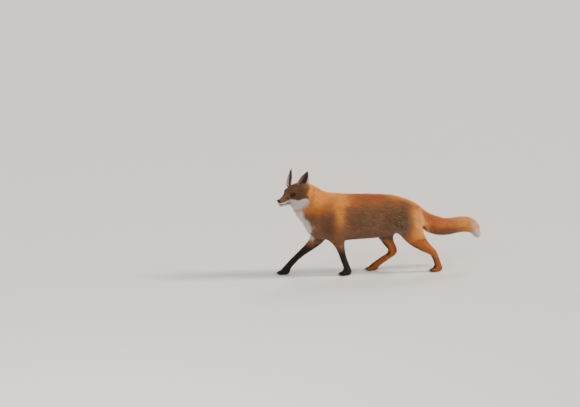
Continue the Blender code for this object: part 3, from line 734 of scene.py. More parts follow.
def spread_roots(outline, members, amount, rng):
    """Roots spread evenly over some triangles: the triangles are put in an order that keeps neighbours
    together, and the roots are dealt out at even steps of area times crowd along it."""
    corners = outline.triangles[members]
    a, b, c = (outline.outer[corners[:, k]] for k in range(3))
    area = np.linalg.norm(np.cross(b - a, c - a), axis=1) / 2
    weight = area * outline.crowd[corners].mean(axis=1) * 1e4 * amount
    cell = np.clip(((a + b + c) / 3 + 0.7) * (1023 / 1.4), 0, 1023).astype(np.int64)
    order = np.argsort(woven(cell), kind="stable")
    total = np.cumsum(weight[order])
    count = int(total[-1])
    places = (np.arange(count) + rng.uniform(0.1, 0.9, count)) * total[-1] / count
    chosen = order[np.searchsorted(total, places).clip(0, len(order) - 1)]
    share = rng.dirichlet((1, 1, 1), count)
    return corners[chosen], share


def woven(cell):
    """One number from three of ten bits each, bit by bit in turn, so that near cells get near numbers."""
    made = np.zeros(len(cell), np.int64)
    for bit in range(10):
        for axis in range(3):
            made |= ((cell[:, axis] >> bit) & 1) << (3 * bit + axis)
    return made


def walk(outline, normals, start, vertex, swerve, reach, stops):
    """Paths over the outline along the lie of the coat, each swerving by its own angle: points and vertices
    reached at each stop, where a stop is a share of the path's reach."""
    point, at = start.copy(), vertex.copy()
    steps = max(int(math.ceil(reach.max() / STEP)), len(stops) * 2)
    stop_steps = [max(1, round(s * steps)) for s in stops]
    kept = []
    for step in range(1, stop_steps[-1] + 1):
        way = turned(outline.lie[at], normals[at], swerve)
        point = point + way * (reach / steps)[:, None]
        for _ in range(2):
            near = np.column_stack([at, outline.around[at]])
            gap = ((outline.outer[near] - point[:, None]) ** 2).sum(-1)
            at = near[np.arange(len(at)), gap.argmin(1)]
        above = ((point - outline.outer[at]) * normals[at]).sum(1)
        point = point - (above * outline.hold[at] * 0.8)[:, None] * normals[at]
        if step in stop_steps:
            kept.append((point, at))
    return kept


def drawn_together(path, group, reach, clump):
    """Paths with the tips of each few neighbours drawn towards their mean, where it is within reach."""
    whole = path.shape[1] - path.shape[1] % group
    tips = path[-1, :whole].reshape(-1, group, 3)
    toward = tips.mean(axis=1, keepdims=True) - tips
    near = np.linalg.norm(toward, axis=-1, keepdims=True) < reach
    pull = np.zeros(path.shape[1:])
    pull[:whole] = (toward * near * clump).reshape(-1, 3)
    share = np.linspace(0, 1, len(path))[:, None, None] ** 1.5
    return path + pull * share


def spikes(path, width, facing, taper):
    """Three-sided spikes along paths, flat towards the skin, a ring of three points for each share of the
    width in the taper and one point at the end: the points, and each spike's way across."""
    ahead = unit(np.gradient(path, axis=0))
    side = unit(np.cross(ahead, facing))
    above = np.cross(side, ahead)
    rows = []
    for ring, share in enumerate(taper):
        half = side[ring] * (width * share / 2)[:, None]
        lift = above[ring] * (width * share * LOCK_RIDGE)[:, None]
        rows += [path[ring] - half, path[ring] + lift, path[ring] + half]
    return np.stack([*rows, path[-1]], axis=1).reshape(-1, 3), side[0]


def spike_faces(rings):
    """One spike's faces: their corners one after another, and how many corners each has."""
    pattern, sizes = [2, 1, 0], [3]
    for low in range(0, 3 * (rings - 1), 3):
        for k in range(3):
            pattern += [low + k, low + (k + 1) % 3, low + 3 + (k + 1) % 3, low + 3 + k]
            sizes.append(4)
    for k in range(3):
        pattern += [3 * (rings - 1) + k, 3 * (rings - 1) + (k + 1) % 3, 3 * rings]
        sizes.append(3)
    return np.array(pattern), np.array(sizes)


def lock_mesh(name, outline, members, material, slot, seed, bends, amount, clump=0.42, wild=0.12):
    """Locks in one piece, each a spike that grows from the skin and ends on the outline. A straight one has a
    ring at its root, and a bend adds a ring. A few are guard hairs, long and thin, and a few are strays."""
    rng = np.random.default_rng(seed)
    corners, share = spread_roots(outline, members, amount, rng)
    count = len(corners)
    normals = normals_of(outline.outer, outline.triangles)

    def at_root(values):
        weights = share.reshape(count, 3, *[1] * (values.ndim - 1))
        return (values[corners] * weights).sum(axis=1)

    vertex = corners[np.arange(count), share.argmax(1)]
    start, facing = at_root(outline.outer), normals[vertex]
    guard = rng.random(count) < GUARD_SHARE
    stray = rng.random(count) < STRAY_SHARE
    long = at_root(outline.length) * rng.uniform(0.70, 1.12, count) * np.where(guard, 1.22, 1.0)
    width = at_root(outline.width) * rng.uniform(0.8, 1.2, count) * np.where(guard | stray, 0.62, 1.0)
    swerve = ripple(start, 0.05, 11) * 0.18 + ripple(start, 0.016, 12) * 0.14 + rng.normal(0, wild, count)
    swerve = swerve * np.where(stray, 2.2, 1.0)
    stops, rise, taper, group = LOCK_SHAPES[bends]
    depth = outline.outer - outline.inner
    top = rng.uniform(0.78, 1.0, count) * np.where(guard, 1.08, 1.0) * np.where(stray, 1.22, 1.0)
    top *= 0.94 + 0.06 * ripple(start, 0.030, 13)
    path = [start - at_root(depth) * 1.03]
    for (point, at), risen in zip(walk(outline, normals, start, vertex, swerve, long, stops), rise):
        height = outline.proud[vertex] * risen * rng.uniform(0.5, 1.0, count)
        path.append(point - depth[at] * (1 - risen * top)[:, None] + normals[at] * height[:, None])
    path = drawn_together(np.array(path), group, 0.25 * np.median(long) + 0.001, clump)
    points, side = spikes(path, width, facing, taper)

    rings = len(taper)
    stride = 3 * rings + 1
    pattern, sizes = spike_faces(rings)
    face_corners = (pattern[None, :] + stride * np.arange(count)[:, None]).ravel()
    first = np.cumsum(sizes) - sizes
    starts = (first[None, :] + len(pattern) * np.arange(count)[:, None]).ravel()
    mesh = new_piece(name, points, face_corners, starts, material, slot).data

    along = np.append(np.repeat(np.array([0.0, *stops[:-1]]), 3), 1.0)
    across = np.append(np.tile([0.0, 0.5, 1.0], rings), 0.5)
    tone = rng.random(count)
    ones = np.ones((1, stride))
    lock = np.stack([np.tile(along, (count, 1)), tone[:, None] * ones, guard[:, None] * ones], axis=-1)
    set_vectors(mesh, "lock", lock.reshape(-1, 3))
    for attribute, values in (("warm", outline.warm), ("cool", outline.cool)):
        set_vectors(mesh, attribute, np.repeat(at_root(values), stride, axis=0))
    patch = np.column_stack([across[pattern], along[pattern]])
    place = box_unwrap(start, facing)
    set_map(mesh, "OFBake", (place[:, None] + (patch - 0.5)[None] * BAKE_PATCH).reshape(-1, 2))
    strand = patch[None] + np.stack([tone * 37.0, tone * 0], -1)[:, None]
    set_map(mesh, "strand", strand.reshape(-1, 2))
    own = np.stack([unit(facing * 0.9 - side), facing, unit(facing * 0.9 + side)], axis=1)
    soft = np.concatenate([np.tile(own, (1, rings, 1)), facing[:, None]], axis=1)
    mesh.normals_split_custom_set_from_vertices(soft.reshape(-1, 3).astype(np.float32))


def box_unwrap(points, facing):
    """Each point's place on six charts side by side, three by two: the chart of the axis it faces most, and
    on it the two other coordinates, scaled to fill it."""
    axis = np.abs(facing).argmax(1)
    chart = axis + 3 * (facing[np.arange(len(axis)), axis] > 0)
    made = np.empty((len(points), 2))
    for number in np.unique(chart):
        members = chart == number
        flat = np.delete(points[members], number % 3, axis=1)
        low, high = flat.min(0), flat.max(0)
        inside = (flat - low) / np.maximum((high - low).max(), 1e-6)
        corner = np.array([number % 3 / 3, number // 3 / 2])
        made[members] = corner + CHART_RIM + inside * (np.array([1 / 3, 1 / 2]) - 2 * CHART_RIM)
    return made


# ---------------------------------------------------------------- materials


class Wire:
    """A shader socket that does sums: an expression on values adds its Math nodes."""

    def __init__(self, finish, socket):
        self.finish, self.socket = finish, socket

    def _sum(self, operation, *values):
        return self.finish.node("ShaderNodeMath", {"operation": operation}, dict(enumerate(values)))

    def __add__(self, other):
        return self._sum("ADD", self, other)

    def __sub__(self, other):
        return self._sum("SUBTRACT", self, other)

    def __rsub__(self, other):
        return self._sum("SUBTRACT", other, self)

    def __mul__(self, other):
        return self._sum("MULTIPLY", self, other)

    def __truediv__(self, other):
        return self._sum("DIVIDE", self, other)

    def __pow__(self, other):
        return self._sum("POWER", self, other)

    __radd__ = __add__
    __rmul__ = __mul__


class Finish:
    """A material being made: its nodes come from one method, and its colours from mixes."""

    def __init__(self, name, **uniform):
        self.material = bpy.data.materials.new(name)
        self.material.use_nodes = True
        self.tree = self.material.node_tree
        self.shader = self.tree.nodes["Principled BSDF"]
        for socket, value in uniform.items():
            self.shader.inputs[socket.replace("_", " ")].default_value = value

    def node(self, kind, settings=None, inputs=None, output=0):
        """One node: its settings first, then its sockets' values or links."""
        made = self.tree.nodes.new(kind)
        for name, value in (settings or {}).items():
            setattr(made, name, value)
        for key, value in (inputs or {}).items():
            if isinstance(value, Wire):
                self.tree.links.new(value.socket, made.inputs[key])
            else:
                made.inputs[key].default_value = value
        return Wire(self, made.outputs[output])

    def parts(self, vector, count=3):
        """The numbers of a vector, each as a value."""
        return [self.node("ShaderNodeSeparateXYZ", inputs={0: vector}, output=k) for k in range(count)]

    def attribute(self, name):
        """The three numbers of an attribute."""
        return self.parts(self.node("ShaderNodeAttribute", {"attribute_name": name}, output="Vector"))

    def where(self, scale=(1, 1, 1)):
        """Object coordinates, stretched."""
        place = self.node("ShaderNodeTexCoord", output="Object")
        return self.node("ShaderNodeMapping", inputs={"Vector": place, "Scale": scale})

    def uv(self, name):
        return self.node("ShaderNodeUVMap", {"uv_map": name})

    def noise(self, vector, scale, detail=3.0, roughness=0.55):
        inputs = {"Vector": vector, "Scale": scale, "Detail": detail, "Roughness": roughness}
        return self.node("ShaderNodeTexNoise", inputs=inputs)

    def between(self, value, low, high):
        """0 up to low, 1 from high, smooth between."""
        inputs = {"Value": value, "From Min": low, "From Max": high}
        return self.node("ShaderNodeMapRange", {"interpolation_type": "SMOOTHSTEP"}, inputs)

    def mix(self, share, a, b, blend="MIX"):
        """A mix of two colours."""
        settings = {"data_type": "RGBA", "blend_type": blend, "clamp_factor": True}
        a, b = (c if isinstance(c, Wire) else (*c, 1.0) for c in (a, b))
        return self.node("ShaderNodeMix", settings, {0: share, 6: a, 7: b}, output=2)

    def dimmed(self, colour, value):
        """A colour times a value."""
        grey = self.node("ShaderNodeCombineXYZ", inputs={0: value, 1: value, 2: value})
        return self.mix(1.0, colour, grey, "MULTIPLY")

    def done(self, colour, roughness, bumps, coat=None):
        """The material with its varying colour and roughness, its bumps as height, distance and strength, and
        the wetness of its coat."""
        height, distance, strength = bumps
        inputs = {"Height": height, "Distance": distance, "Strength": strength}
        normal = self.node("ShaderNodeBump", inputs=inputs)
        sockets = {"Base Color": colour, "Roughness": roughness, "Normal": normal, "Coat Weight": coat}
        for socket, wire in sockets.items():
            if wire:
                self.tree.links.new(wire.socket, self.shader.inputs[socket])
        return self.material


def times(colour, factor, added=0.0):
    """A plain colour made lighter or darker."""
    return [min(1.0, c * factor + added) for c in colour]


def linear(red, green, blue):
    """A colour given as it looks on a screen, from 0 to 255, in light's own measure."""
    made = [c / 255 for c in (red, green, blue)]
    return tuple(c / 12.92 if c <= 0.04045 else ((c + 0.055) / 1.055) ** 2.4 for c in made)


def coat_colour(finish, settings, grey, pale, dark):
    """The coat's ground colour: orange, then each marking and the gold of painted sunlight mixed over it, its
    edge broken up by fine noise.
    """
    rust, sunlit_gold, brown = finish.attribute("warm")
    grain = finish.noise(finish.where(), 260.0, 2.0) - 0.5
    colour = finish.mix(rust, settings.orange, settings.rust)
    for mask, name in ((sunlit_gold, "sunlit_gold"), (brown, "brown"), (grey, "grey"), (pale, "pale"), (dark, "dark")):
        broken = finish.between(mask + grain * 0.32, 0.06, 0.94)
        colour = finish.mix(broken, colour, getattr(settings, name))
    return colour


def coat_material(name, settings, locks):
    """The finish of the skin, or of the locks, which carry the same markings."""
    finish = Finish(name, Specular_IOR_Level=0.22, Sheen_Weight=0.12, Sheen_Roughness=0.6)
    grey, pale, dark = finish.attribute("cool")
    colour = coat_colour(finish, settings, grey, pale, dark)
    broad = finish.noise(finish.where(), 17.0, 2.0)
    if not locks:
        fine = finish.noise(finish.where((1, 3, 3)), 420.0, 4.0, 0.65)
        # The skin is darkened, as painted shade under the coat, and flecked by fine noise.
        light = (0.42 + fine * 0.40) * (0.85 + broad * 0.3)
        return finish.done(finish.dimmed(colour, light), 0.75 + fine * 0.2, (fine, 0.0012, 0.8))
    along, tone, guard = finish.attribute("lock")
    stretch = {"Vector": finish.uv("strand"), "Scale": (5.0, 1.6, 1.0)}
    strand = finish.node("ShaderNodeMapping", inputs=stretch)
    fine = finish.noise(strand, 3.0, 3.0, 0.7)
    # Darker towards the root: partly the hair's own darker base, partly painted shade deep in the coat.
    root = finish.between(along, 0.0, 0.75)
    light = (0.40 + root * 0.62) * (0.80 + tone * 0.36) * (0.82 + fine * 0.36) * (0.88 + broad * 0.24)
    band = finish.between(along, 0.35, 0.85) * (grey * 0.55 + guard * 0.30 * (1.0 - pale))
    ticked = finish.mix(finish.between(tone, 0.40, 0.62), settings.dark, settings.tick)
    colour = finish.mix(band * (1.0 - dark), colour, ticked)
    return finish.done(finish.dimmed(colour, light), 0.62 + fine * 0.25, (fine, 0.0004, 0.5))


def leather_material(name, colour, roughness, scale, distance):
    """Dark bare skin: pebbled, a little worn and moist."""
    finish = Finish(name, Specular_IOR_Level=0.35, Coat_Roughness=0.25)
    inputs = {"Vector": finish.where(), "Scale": scale, "Smoothness": 0.6}
    cells = finish.node("ShaderNodeTexVoronoi", {"feature": "SMOOTH_F1"}, inputs)
    wear = finish.noise(finish.where(), scale * 0.35, 4.0)
    colour = finish.mix(wear * 0.7 + cells * 0.4, colour, times(colour, 1.6, 0.001))
    return finish.done(colour, roughness + wear * 0.25, (cells + wear * 0.4, distance, 0.8), wear * 0.22)


def eye_material(iris):
    """Amber iris with fine spokes, an upright slit of a pupil, a dark rim, and a wet coat over all."""
    finish = Finish("fox_eye", Specular_IOR_Level=0.10, Coat_Roughness=0.02)
    u, v = finish.parts(finish.uv("gaze"), 2)
    radius = (u * u + v * v) ** 0.5
    spokes = finish.node("ShaderNodeMath", {"operation": "ARCTAN2"}, {0: v, 1: u})
    turn = finish.node("ShaderNodeCombineXYZ", inputs={0: spokes * 7.0, 1: radius * 1.3, 2: 0.0})
    streak = finish.noise(turn, 3.0, 3.0, 0.6)
    slit = ((u / 0.33) ** 2.0 + (v / 0.72) ** 2.0) ** 0.5
    colour = finish.mix(streak, times(iris, 0.45), times(iris, 1.35))
    colour = finish.mix(finish.between(radius, 0.40, 0.95), colour, times(iris, 0.22))
    colour = finish.mix(finish.between(slit, 1.10, 0.92), colour, PUPIL_COLOUR)
    colour = finish.mix(finish.between(radius, 0.93, 1.04), colour, EYE_RIM_COLOUR)
    return finish.done(colour, 0.18 + streak * 0.12, (streak, 0.0001, 0.3), 0.55 + streak * 0.1)


def horn_material(name, colour):
    """Claws and whiskers: smooth horn with growth streaks."""
    finish = Finish(name, Specular_IOR_Level=0.5)
    streak = finish.noise(finish.where((3, 3, 1)), 500.0, 3.0)
    colour = finish.mix(streak, colour, times(colour, 2.2, 0.004))
    return finish.done(colour, 0.30 + streak * 0.25, (streak, 0.0002, 0.4))


def floor_material(colour):
    """Matt pale floor with a faint unevenness."""
    finish = Finish("studio_floor", Specular_IOR_Level=0.2)
    broad = finish.noise(finish.where(), 1.5, 3.0)
    colour = finish.mix(broad * 0.5, colour, times(colour, 0.96))
    fine = finish.noise(finish.where(), 300.0)
    return finish.done(colour, 0.80 + broad * 0.15, (fine, 0.0003, 0.15))


# ---------------------------------------------------------------- settings


def colour_property(name, description, colour):
    return bpy.props.FloatVectorProperty(
        name=name, description=description, subtype="COLOR", size=3, min=0, max=1, default=linear(*colour)
    )


class FoxCoatSettings(bpy.types.PropertyGroup):
    """The coat's colours and fullness."""

    fullness: bpy.props.FloatProperty(
        name="Fullness", description="How many locks grow, 1 for a full coat", default=1.0, min=0.1, max=1.0
    )
    orange: colour_property("Orange", "The coat's ground colour", (196, 106, 44))
    rust: colour_property("Rust", "Along the back", (166, 88, 44))
    # Painted sunlight: the gold is the orange coat as it looks where the sun falls on it.
    sunlit_gold: colour_property("Gold", "Neck, back of the thighs and end of the tail", (236, 154, 60))
    brown: colour_property("Brown", "Flanks, shoulders and face", (126, 84, 54))
    grey: colour_property("Grey", "The grizzled thighs and flanks", (84, 68, 58))
    pale: colour_property("Pale", "Cheeks, throat, chest and tail tip", (226, 218, 208))
    dark: colour_property("Dark", "Legs, ear backs and muzzle sides", (42, 28, 23))
    tick: colour_property("Ticking", "Light bands near the tips of grizzled hairs", (188, 150, 108))


class FoxFaceSettings(bpy.types.PropertyGroup):
    """The face's colours and sizes."""

    iris: colour_property("Iris", "The eyes' colour", (138, 80, 22))
    leather: colour_property("Leather", "Nose, lids, lips and pads", (17, 15, 15))
    whisker: bpy.props.FloatProperty(
        name="Whiskers", description="Length of the longest whisker", default=0.050, unit="LENGTH"
    )


class FoxStageSettings(bpy.types.PropertyGroup):
    """The studio round the fox."""

    floor: colour_property("Floor", "The floor and backdrop", (238, 237, 235))
    key: bpy.props.FloatProperty(name="Key light", description="Strength of the warm light", default=3.7)
    fill: bpy.props.FloatProperty(
        name="Fill light", description="Power of the soft light", default=45, unit="POWER"
    )


# ---------------------------------------------------------------- the pieces


def unwrapped(piece):
    """A UV map of the piece's own shape, in flat patches."""
    bpy.ops.object.select_all(action="DESELECT")
    bpy.context.view_layer.objects.active = piece
    piece.select_set(True)
    piece.data.uv_layers.new(name="OFBake")
    bpy.ops.object.mode_set(mode="EDIT")
    bpy.ops.mesh.select_all(action="SELECT")
    bpy.ops.uv.smart_project(angle_limit=math.radians(66), island_margin=0.002)
    bpy.ops.object.mode_set(mode="OBJECT")
    piece.select_set(False)


def mark(piece, outline):
    """Gives a skin its markings and its UV map."""
    set_vectors(piece.data, "warm", outline.warm)
    set_vectors(piece.data, "cool", outline.cool)
    unwrapped(piece)


class FOX_OT_skin(bpy.types.Operator):
    """Makes the one skin of head, trunk, legs and tail, inside the coat's outline by the coat's depth"""

    bl_idname = "fox.skin"
    bl_label = "Skin"

    def execute(self, context):
        outline, mesh = body_outline()
        piece = bpy.data.objects.new("skin", mesh)
        context.scene.collection.objects.link(piece)
        mesh.vertices.foreach_set("co", outline.inner.astype(np.float32).ravel())
        mesh.update()
        mesh.shade_smooth()
        mesh.materials.clear()
        mesh.materials.append(coat_material("fox_skin", context.scene.fox_coat, locks=False))
        mark(piece, outline)
        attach(piece, "root")
        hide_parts(*FLESH)
        return {"FINISHED"}


COAT_PIECES = {
    # piece: its nodes, the side and the end that it keeps to, and its slot. The head's sides are its own.
    "coat_trunk_left_front": (("trunk",), -1, -1, "coat"),
    "coat_trunk_right_front": (("trunk",), 1, -1, "coat"),
    "coat_trunk_left_back": (("trunk",), -1, 1, "coat"),
    "coat_trunk_right_back": (("trunk",), 1, 1, "coat"),
    "coat_neck": (("neck",), 0, 0, "coat"),
    "coat_head_left": (("head",), -1, 0, "coat"),
    "coat_head_right": (("head",), 1, 0, "coat"),
    "coat_jaw": (("jaw",), 0, 0, "pale"),
    "coat_tail": (("tail",), 0, 0, "coat"),
    "coat_tail_tip": (("tail_tip",), 0, 0, "pale"),
    "coat_forelegs": (LEGS[:2], 0, 0, "socks"),
    "coat_hindlegs": (LEGS[2:], 0, 0, "coat"),
    "coat_forepaws": (PAWS[:2], 0, 0, "socks"),
    "coat_hindpaws": (PAWS[2:], 0, 0, "socks"),
}
TRUNK_MIDDLE = -0.065  # where the trunk's front and back pieces part


def piece_members(outline, nodes, side, end):
    """The triangles that a coat piece grows on."""
    first = outline.triangles[:, 0]
    chosen = np.isin(outline.node[first], [FLESH.index(name) for name in nodes])
    place = outline.outer[first]
    across = to_head(place)[:, 1] if nodes == ("head",) else place[:, 1]
    if side:
        chosen &= (across > 0) == (side > 0)
    if end:
        chosen &= (place[:, 0] > TRUNK_MIDDLE) == (end > 0)
    return np.flatnonzero(chosen & (place[:, 2] > HAIR_CLEARS_FLOOR))


class FOX_OT_coat(bpy.types.Operator):
    """Grows the locks of the body's coat, in one piece for each region"""

    bl_idname = "fox.coat"
    bl_label = "Coat"

    def execute(self, context):
        outline, _ = body_outline()
        settings = context.scene.fox_coat
        material = coat_material("fox_coat", settings, locks=True)
        for seed, (name, (nodes, side, end, slot)) in enumerate(COAT_PIECES.items()):
            members = piece_members(outline, nodes, side, end)
            bends = int(nodes[0] in LONG_NODES)
            lock_mesh(name, outline, members, material, slot, 100 + seed, bends, settings.fullness)
        return {"FINISHED"}


def ear_axes(side, outwards, backwards, turn):
    """From an ear's own frame, up its length from its root with its hollow ahead (-X), to the head's."""
    root = Matrix.Translation((EAR_ROOT[0], side * EAR_ROOT[1], EAR_ROOT[2]))
    lean = Matrix.Rotation(-side * math.radians(outwards), 4, "X")
    back = Matrix.Rotation(math.radians(backwards), 4, "Y")
    return np.array(root @ lean @ back @ Matrix.Rotation(-side * math.radians(turn), 4, "Z"))


def ear_shell(up, across, layer):
    """A pointed leaf bent round its length, drawn in towards its foot: up and across run from the foot to 1
    and -1 to 1, and layer is 0 on the hollow side and 1 on the back."""
    tuck = 1 - EAR_TUCK * np.clip((EAR_WIDE - up) / (EAR_WIDE - EAR_FOOT), 0, 1) ** 2
    above = np.maximum(up, 0)
    leaf = np.clip(1 - above**2.2, 0, 1) ** 0.75 * (0.80 + 0.75 * above * (1 - above))
    width = EAR_HALF_WIDTH * leaf * tuck
    bend = across * 1.15
    radius = np.maximum(width / 1.05, 1e-5)
    depth = (EAR_CUP * (1 - above) ** 0.7 + 0.004) * tuck**0.5
    thick = EAR_EDGE + (EAR_THICKNESS - EAR_EDGE) * (1 - np.abs(across)) * (1 - above) ** 0.5
    x = -depth * (1 - np.cos(bend)) + (layer - 0.5) * thick * np.cos(bend * 0.8)
    y = radius * np.sin(bend) + (layer - 0.5) * thick * np.sin(bend) * 0.5
    return np.stack([x, y, up * EAR_LENGTH + 0 * across], axis=-1)


def ear_quads(points, rows, wide):
    """An ear's quads and triangles, facing out: a closed loop of columns, shut at its foot and its tip."""
    k = np.arange(wide // 2 - 1)
    foot = np.stack([k, k + 1, wide - 2 - k, wide - 1 - k], -1)
    quads = np.vstack([quads_of(rows, wide), foot[:, ::-1], (rows - 1) * wide + foot])
    triangles = np.vstack([quads[:, [0, 1, 2]], quads[:, [0, 2, 3]]])
    a, b, c = (points[triangles[:, corner]] for corner in range(3))
    if (np.cross(b - a, c - a) * (a - points.mean(0))).sum() < 0:
        return quads[:, ::-1], triangles[:, ::-1]
    return quads, triangles


def ear_outline(lean, rows=46, columns=27):
    """An ear as hair's outline, out over the hollow and home over the back, and its quads."""
    up = np.linspace(-0.10, 0.985, rows)[:, None]
    out = np.linspace(-1, 1, columns)[None, :]
    shell = np.concatenate([ear_shell(up, out, 0.0), ear_shell(up, out[:, ::-1], 1.0)], axis=1)
    axes = ear_axes(*lean)
    points = from_head(shell.reshape(-1, 3) @ axes[:3, :3].T + axes[:3, 3])
    quads, triangles = ear_quads(points, rows, 2 * columns)
    edges = np.vstack([quads[:, [k, (k + 1) % 4]] for k in range(4)])
    around = neighbours(len(points), np.unique(np.sort(edges, axis=1), axis=0))
    normals = normals_of(points, triangles)

    up = np.repeat(up.ravel(), 2 * columns)
    across = np.tile(np.append(out, out[:, ::-1]), rows)
    hollow = np.tile(np.repeat([1.0, 0.0], columns), rows)
    back = 1 - hollow
    fore = -lean[0] * across
    rim = ramp(0.74, 0.95, np.abs(across))
    # The rear edge, where a cream rim is painted as sunlight shining through the ear's hair.
    rear = ramp(0, 1, (-fore - 0.26 - 0.30 * up) / 0.32)
    # The hollow's front edge carries the long pale hairs, which cross over it.
    fringe = hollow * ramp(0.0, 0.75, fore) * ramp(0.92, 0.35, up)
    tip = from_head(axes[:3, 3] + axes[:3, 2] * EAR_LENGTH * 1.3)
    over = -lean[0] * axes[:3, 1] @ head_axes()[0]
    lie = flattened(unit(tip - points), normals)
    lie = flattened(unit(lie - over * (fringe * 0.5)[:, None]), normals)

    uneven = ripple(points, 0.02, 8) * 0.05
    # Pale: a little over the hollow's front and its rim, and the painted sunlit rim along the rear edge.
    pale = most(hollow * 0.24 * ramp(0.35, 0.9, fore), 0.40 * hollow * rim, rear * (0.80 + 0.20 * hollow))
    dark = most(
        back * ramp(0.12, 0.42, up + uneven) * (1 - rear),
        # Painted shade: dark deep in the hollow, behind its pale front and away from its rims.
        hollow * (1 - most(rim, rear)) * 0.8 * ramp(0.6, 0.0, fore),
    )
    zero = 0 * up
    made = Outline(
        outer=points,
        inner=points - normals * 0.0010,
        triangles=triangles,
        around=around,
        lie=lie,
        length=0.0055 + 0.003 * (1 - up) + 0.010 * fringe,
        width=0.00090 + 0.0002 * hollow * ramp(0, 1, fore),
        crowd=82 - 22 * hollow,
        # Brown everywhere but the painted sunlit rim at the rear.
        warm=np.column_stack([zero, 0.3 * back, 0.6 * (1 - rear)]),
        # The grey over the hollow is painted shade on its pale hair.
        cool=np.column_stack([0.55 * hollow, pale * ramp(-0.02, 0.08, up), dark]),
        node=hollow.astype(int),
        proud=zero,
        hold=1 + zero,
    )
    return made, quads


class FOX_OT_ears(bpy.types.Operator):
    """Makes both ears: a thin cupped skin with dark hair on its back, pale hair in its hollow under painted
    shade, and a painted sunlit rim along the rear
    """

    bl_idname = "fox.ears"
    bl_label = "Ears"

    def execute(self, context):
        settings = context.scene.fox_coat
        skin = coat_material("fox_ear_skin", settings, locks=False)
        hair = coat_material("fox_ear_hair", settings, locks=True)
        for seed, (name, lean) in enumerate(EARS.items()):
            outline, quads = ear_outline(lean)
            side = name.removeprefix("ear_")
            starts = 4 * np.arange(len(quads))
            piece = new_piece(f"ear_skin_{side}", outline.inner, quads.ravel(), starts, skin, "socks")
            mark(piece, outline)
            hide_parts(name)
            # None grow on the rim itself, which lies between the hollow and the back.
            layers = outline.node[outline.triangles]
            members = np.flatnonzero(layers.min(axis=1) == layers.max(axis=1))
            grown = f"ear_hair_{side}", outline, members, hair, "socks"
            lock_mesh(*grown, seed=300 + seed, bends=0, amount=settings.fullness, clump=0.2)
        return {"FINISHED"}


class FOX_OT_eyes(bpy.types.Operator):
    """Makes the eyeballs and the dark lids round them"""

    bl_idname = "fox.eyes"
    bl_label = "Eyes and lids"

    def execute(self, context):
        face = context.scene.fox_face
        eye_finish = eye_material(face.iris)
        lid_finish = leather_material("fox_lid", times(face.leather, 0.6), 0.62, 1600.0, 0.00012)
        for name, side in (("left", -1), ("right", 1)):
            axes = eye_axes(side)
            socket = EYE_AT * [1, side, 1]
            centre = socket - axes[0] * EYE_DEEPER
            local = ball(40, 48)
            bulge = 1 + CORNEA_BULGE * ramp(0.72, 1.0, local[..., :1])
            eye = grid_piece(
                f"eyeball_{name}", [from_head(local * EYE_RADIUS * bulge @ axes + centre)], eye_finish, "eye"
            )
            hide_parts(f"eye_{name}")
            # The place on the iris, from the middle of the gaze, and well outside it on the back of the eye.
            flat = (to_head(mesh_points(eye.data)) - centre) @ axes.T / (EYE_RADIUS * IRIS_SHARE)
            away = np.where(flat[:, 0] > 0, 1.0, 3.0)[:, None]
            corners = np.empty(len(eye.data.loops), np.int32)
            eye.data.loops.foreach_get("vertex_index", corners)
            set_map(eye.data, "gaze", (flat[:, 1:] * away)[corners])
            lids = [self.lid(axes, socket)]
            grid_piece(f"eyelids_{name}", lids, lid_finish, "leather", close=(True, False))
        return {"FINISHED"}

    def lid(self, axes, centre):
        """A ring round the opening: from the eyeball up over a rounded rim and down under the hair."""
        bearing = np.linspace(0, 2 * math.pi, 64, endpoint=False)[None, :]
        out = np.linspace(0, 1, 18)[:, None]
        turn = np.clip(almond(bearing) * (0.97 + 0.40 * out) / EYE_RADIUS, 0, 1.7)
        rim = np.sin(np.clip(out * 4.5, 0, math.pi))
        upper = ramp(-0.2, 0.8, np.sin(bearing))
        height = EYE_RADIUS - 0.0009 + (0.0008 + 0.0006 * upper) * rim + 0.0006 * ramp(0.1, 0.45, out)
        way = np.stack([np.cos(turn), np.sin(turn) * np.cos(bearing), np.sin(turn) * np.sin(bearing)], -1)
        return from_head(way * height[..., None] @ axes + centre)


class FOX_OT_nose(bpy.types.Operator):
    """Makes the leather of the nose, with its nostrils and the groove between them"""

    bl_idname = "fox.nose"
    bl_label = "Nose"

    def execute(self, context):
        finish = leather_material("fox_nose", context.scene.fox_face.leather, 0.38, 1500.0, 0.00022)
        way = ball(56, 72) * [-1, 1, 1]
        boxy = (np.abs(way) ** NOSE_BOXINESS).sum(-1) ** (-1 / NOSE_BOXINESS)
        front = ramp(-0.1, 0.8, -way[..., 0])
        side, up = np.abs(way[..., 1]), way[..., 2]
        nostril = ramp(1, 0, np.hypot((side - 0.50) / 0.27, (up + 0.06 - 0.30 * (side - 0.5)) / 0.23)) * front
        slit = ramp(1, 0, np.hypot((side - 0.84) / 0.30, (up + 0.20 + 0.3 * (side - 0.84)) / 0.11))
        groove = ramp(0.09, 0.0, side) * front * ramp(0.35, -0.1, up)
        scale = boxy * (1.0 - 0.36 * nostril - 0.16 * slit - 0.10 * groove)
        shape = way * scale[..., None] * NOSE_SIZE * [1, 0.96, 0.90]
        shape[..., 1] *= 0.94 + 0.10 * up - 0.10 * ramp(-0.3, -1.0, up)
        shape[..., 0] += 0.0022 * ramp(0.0, -1.0, up) + 0.0010
        piece = grid_piece("nose_leather", [from_head(shape + NOSE_AT)], finish, "leather")
        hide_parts("nose")
        return {"FINISHED"}


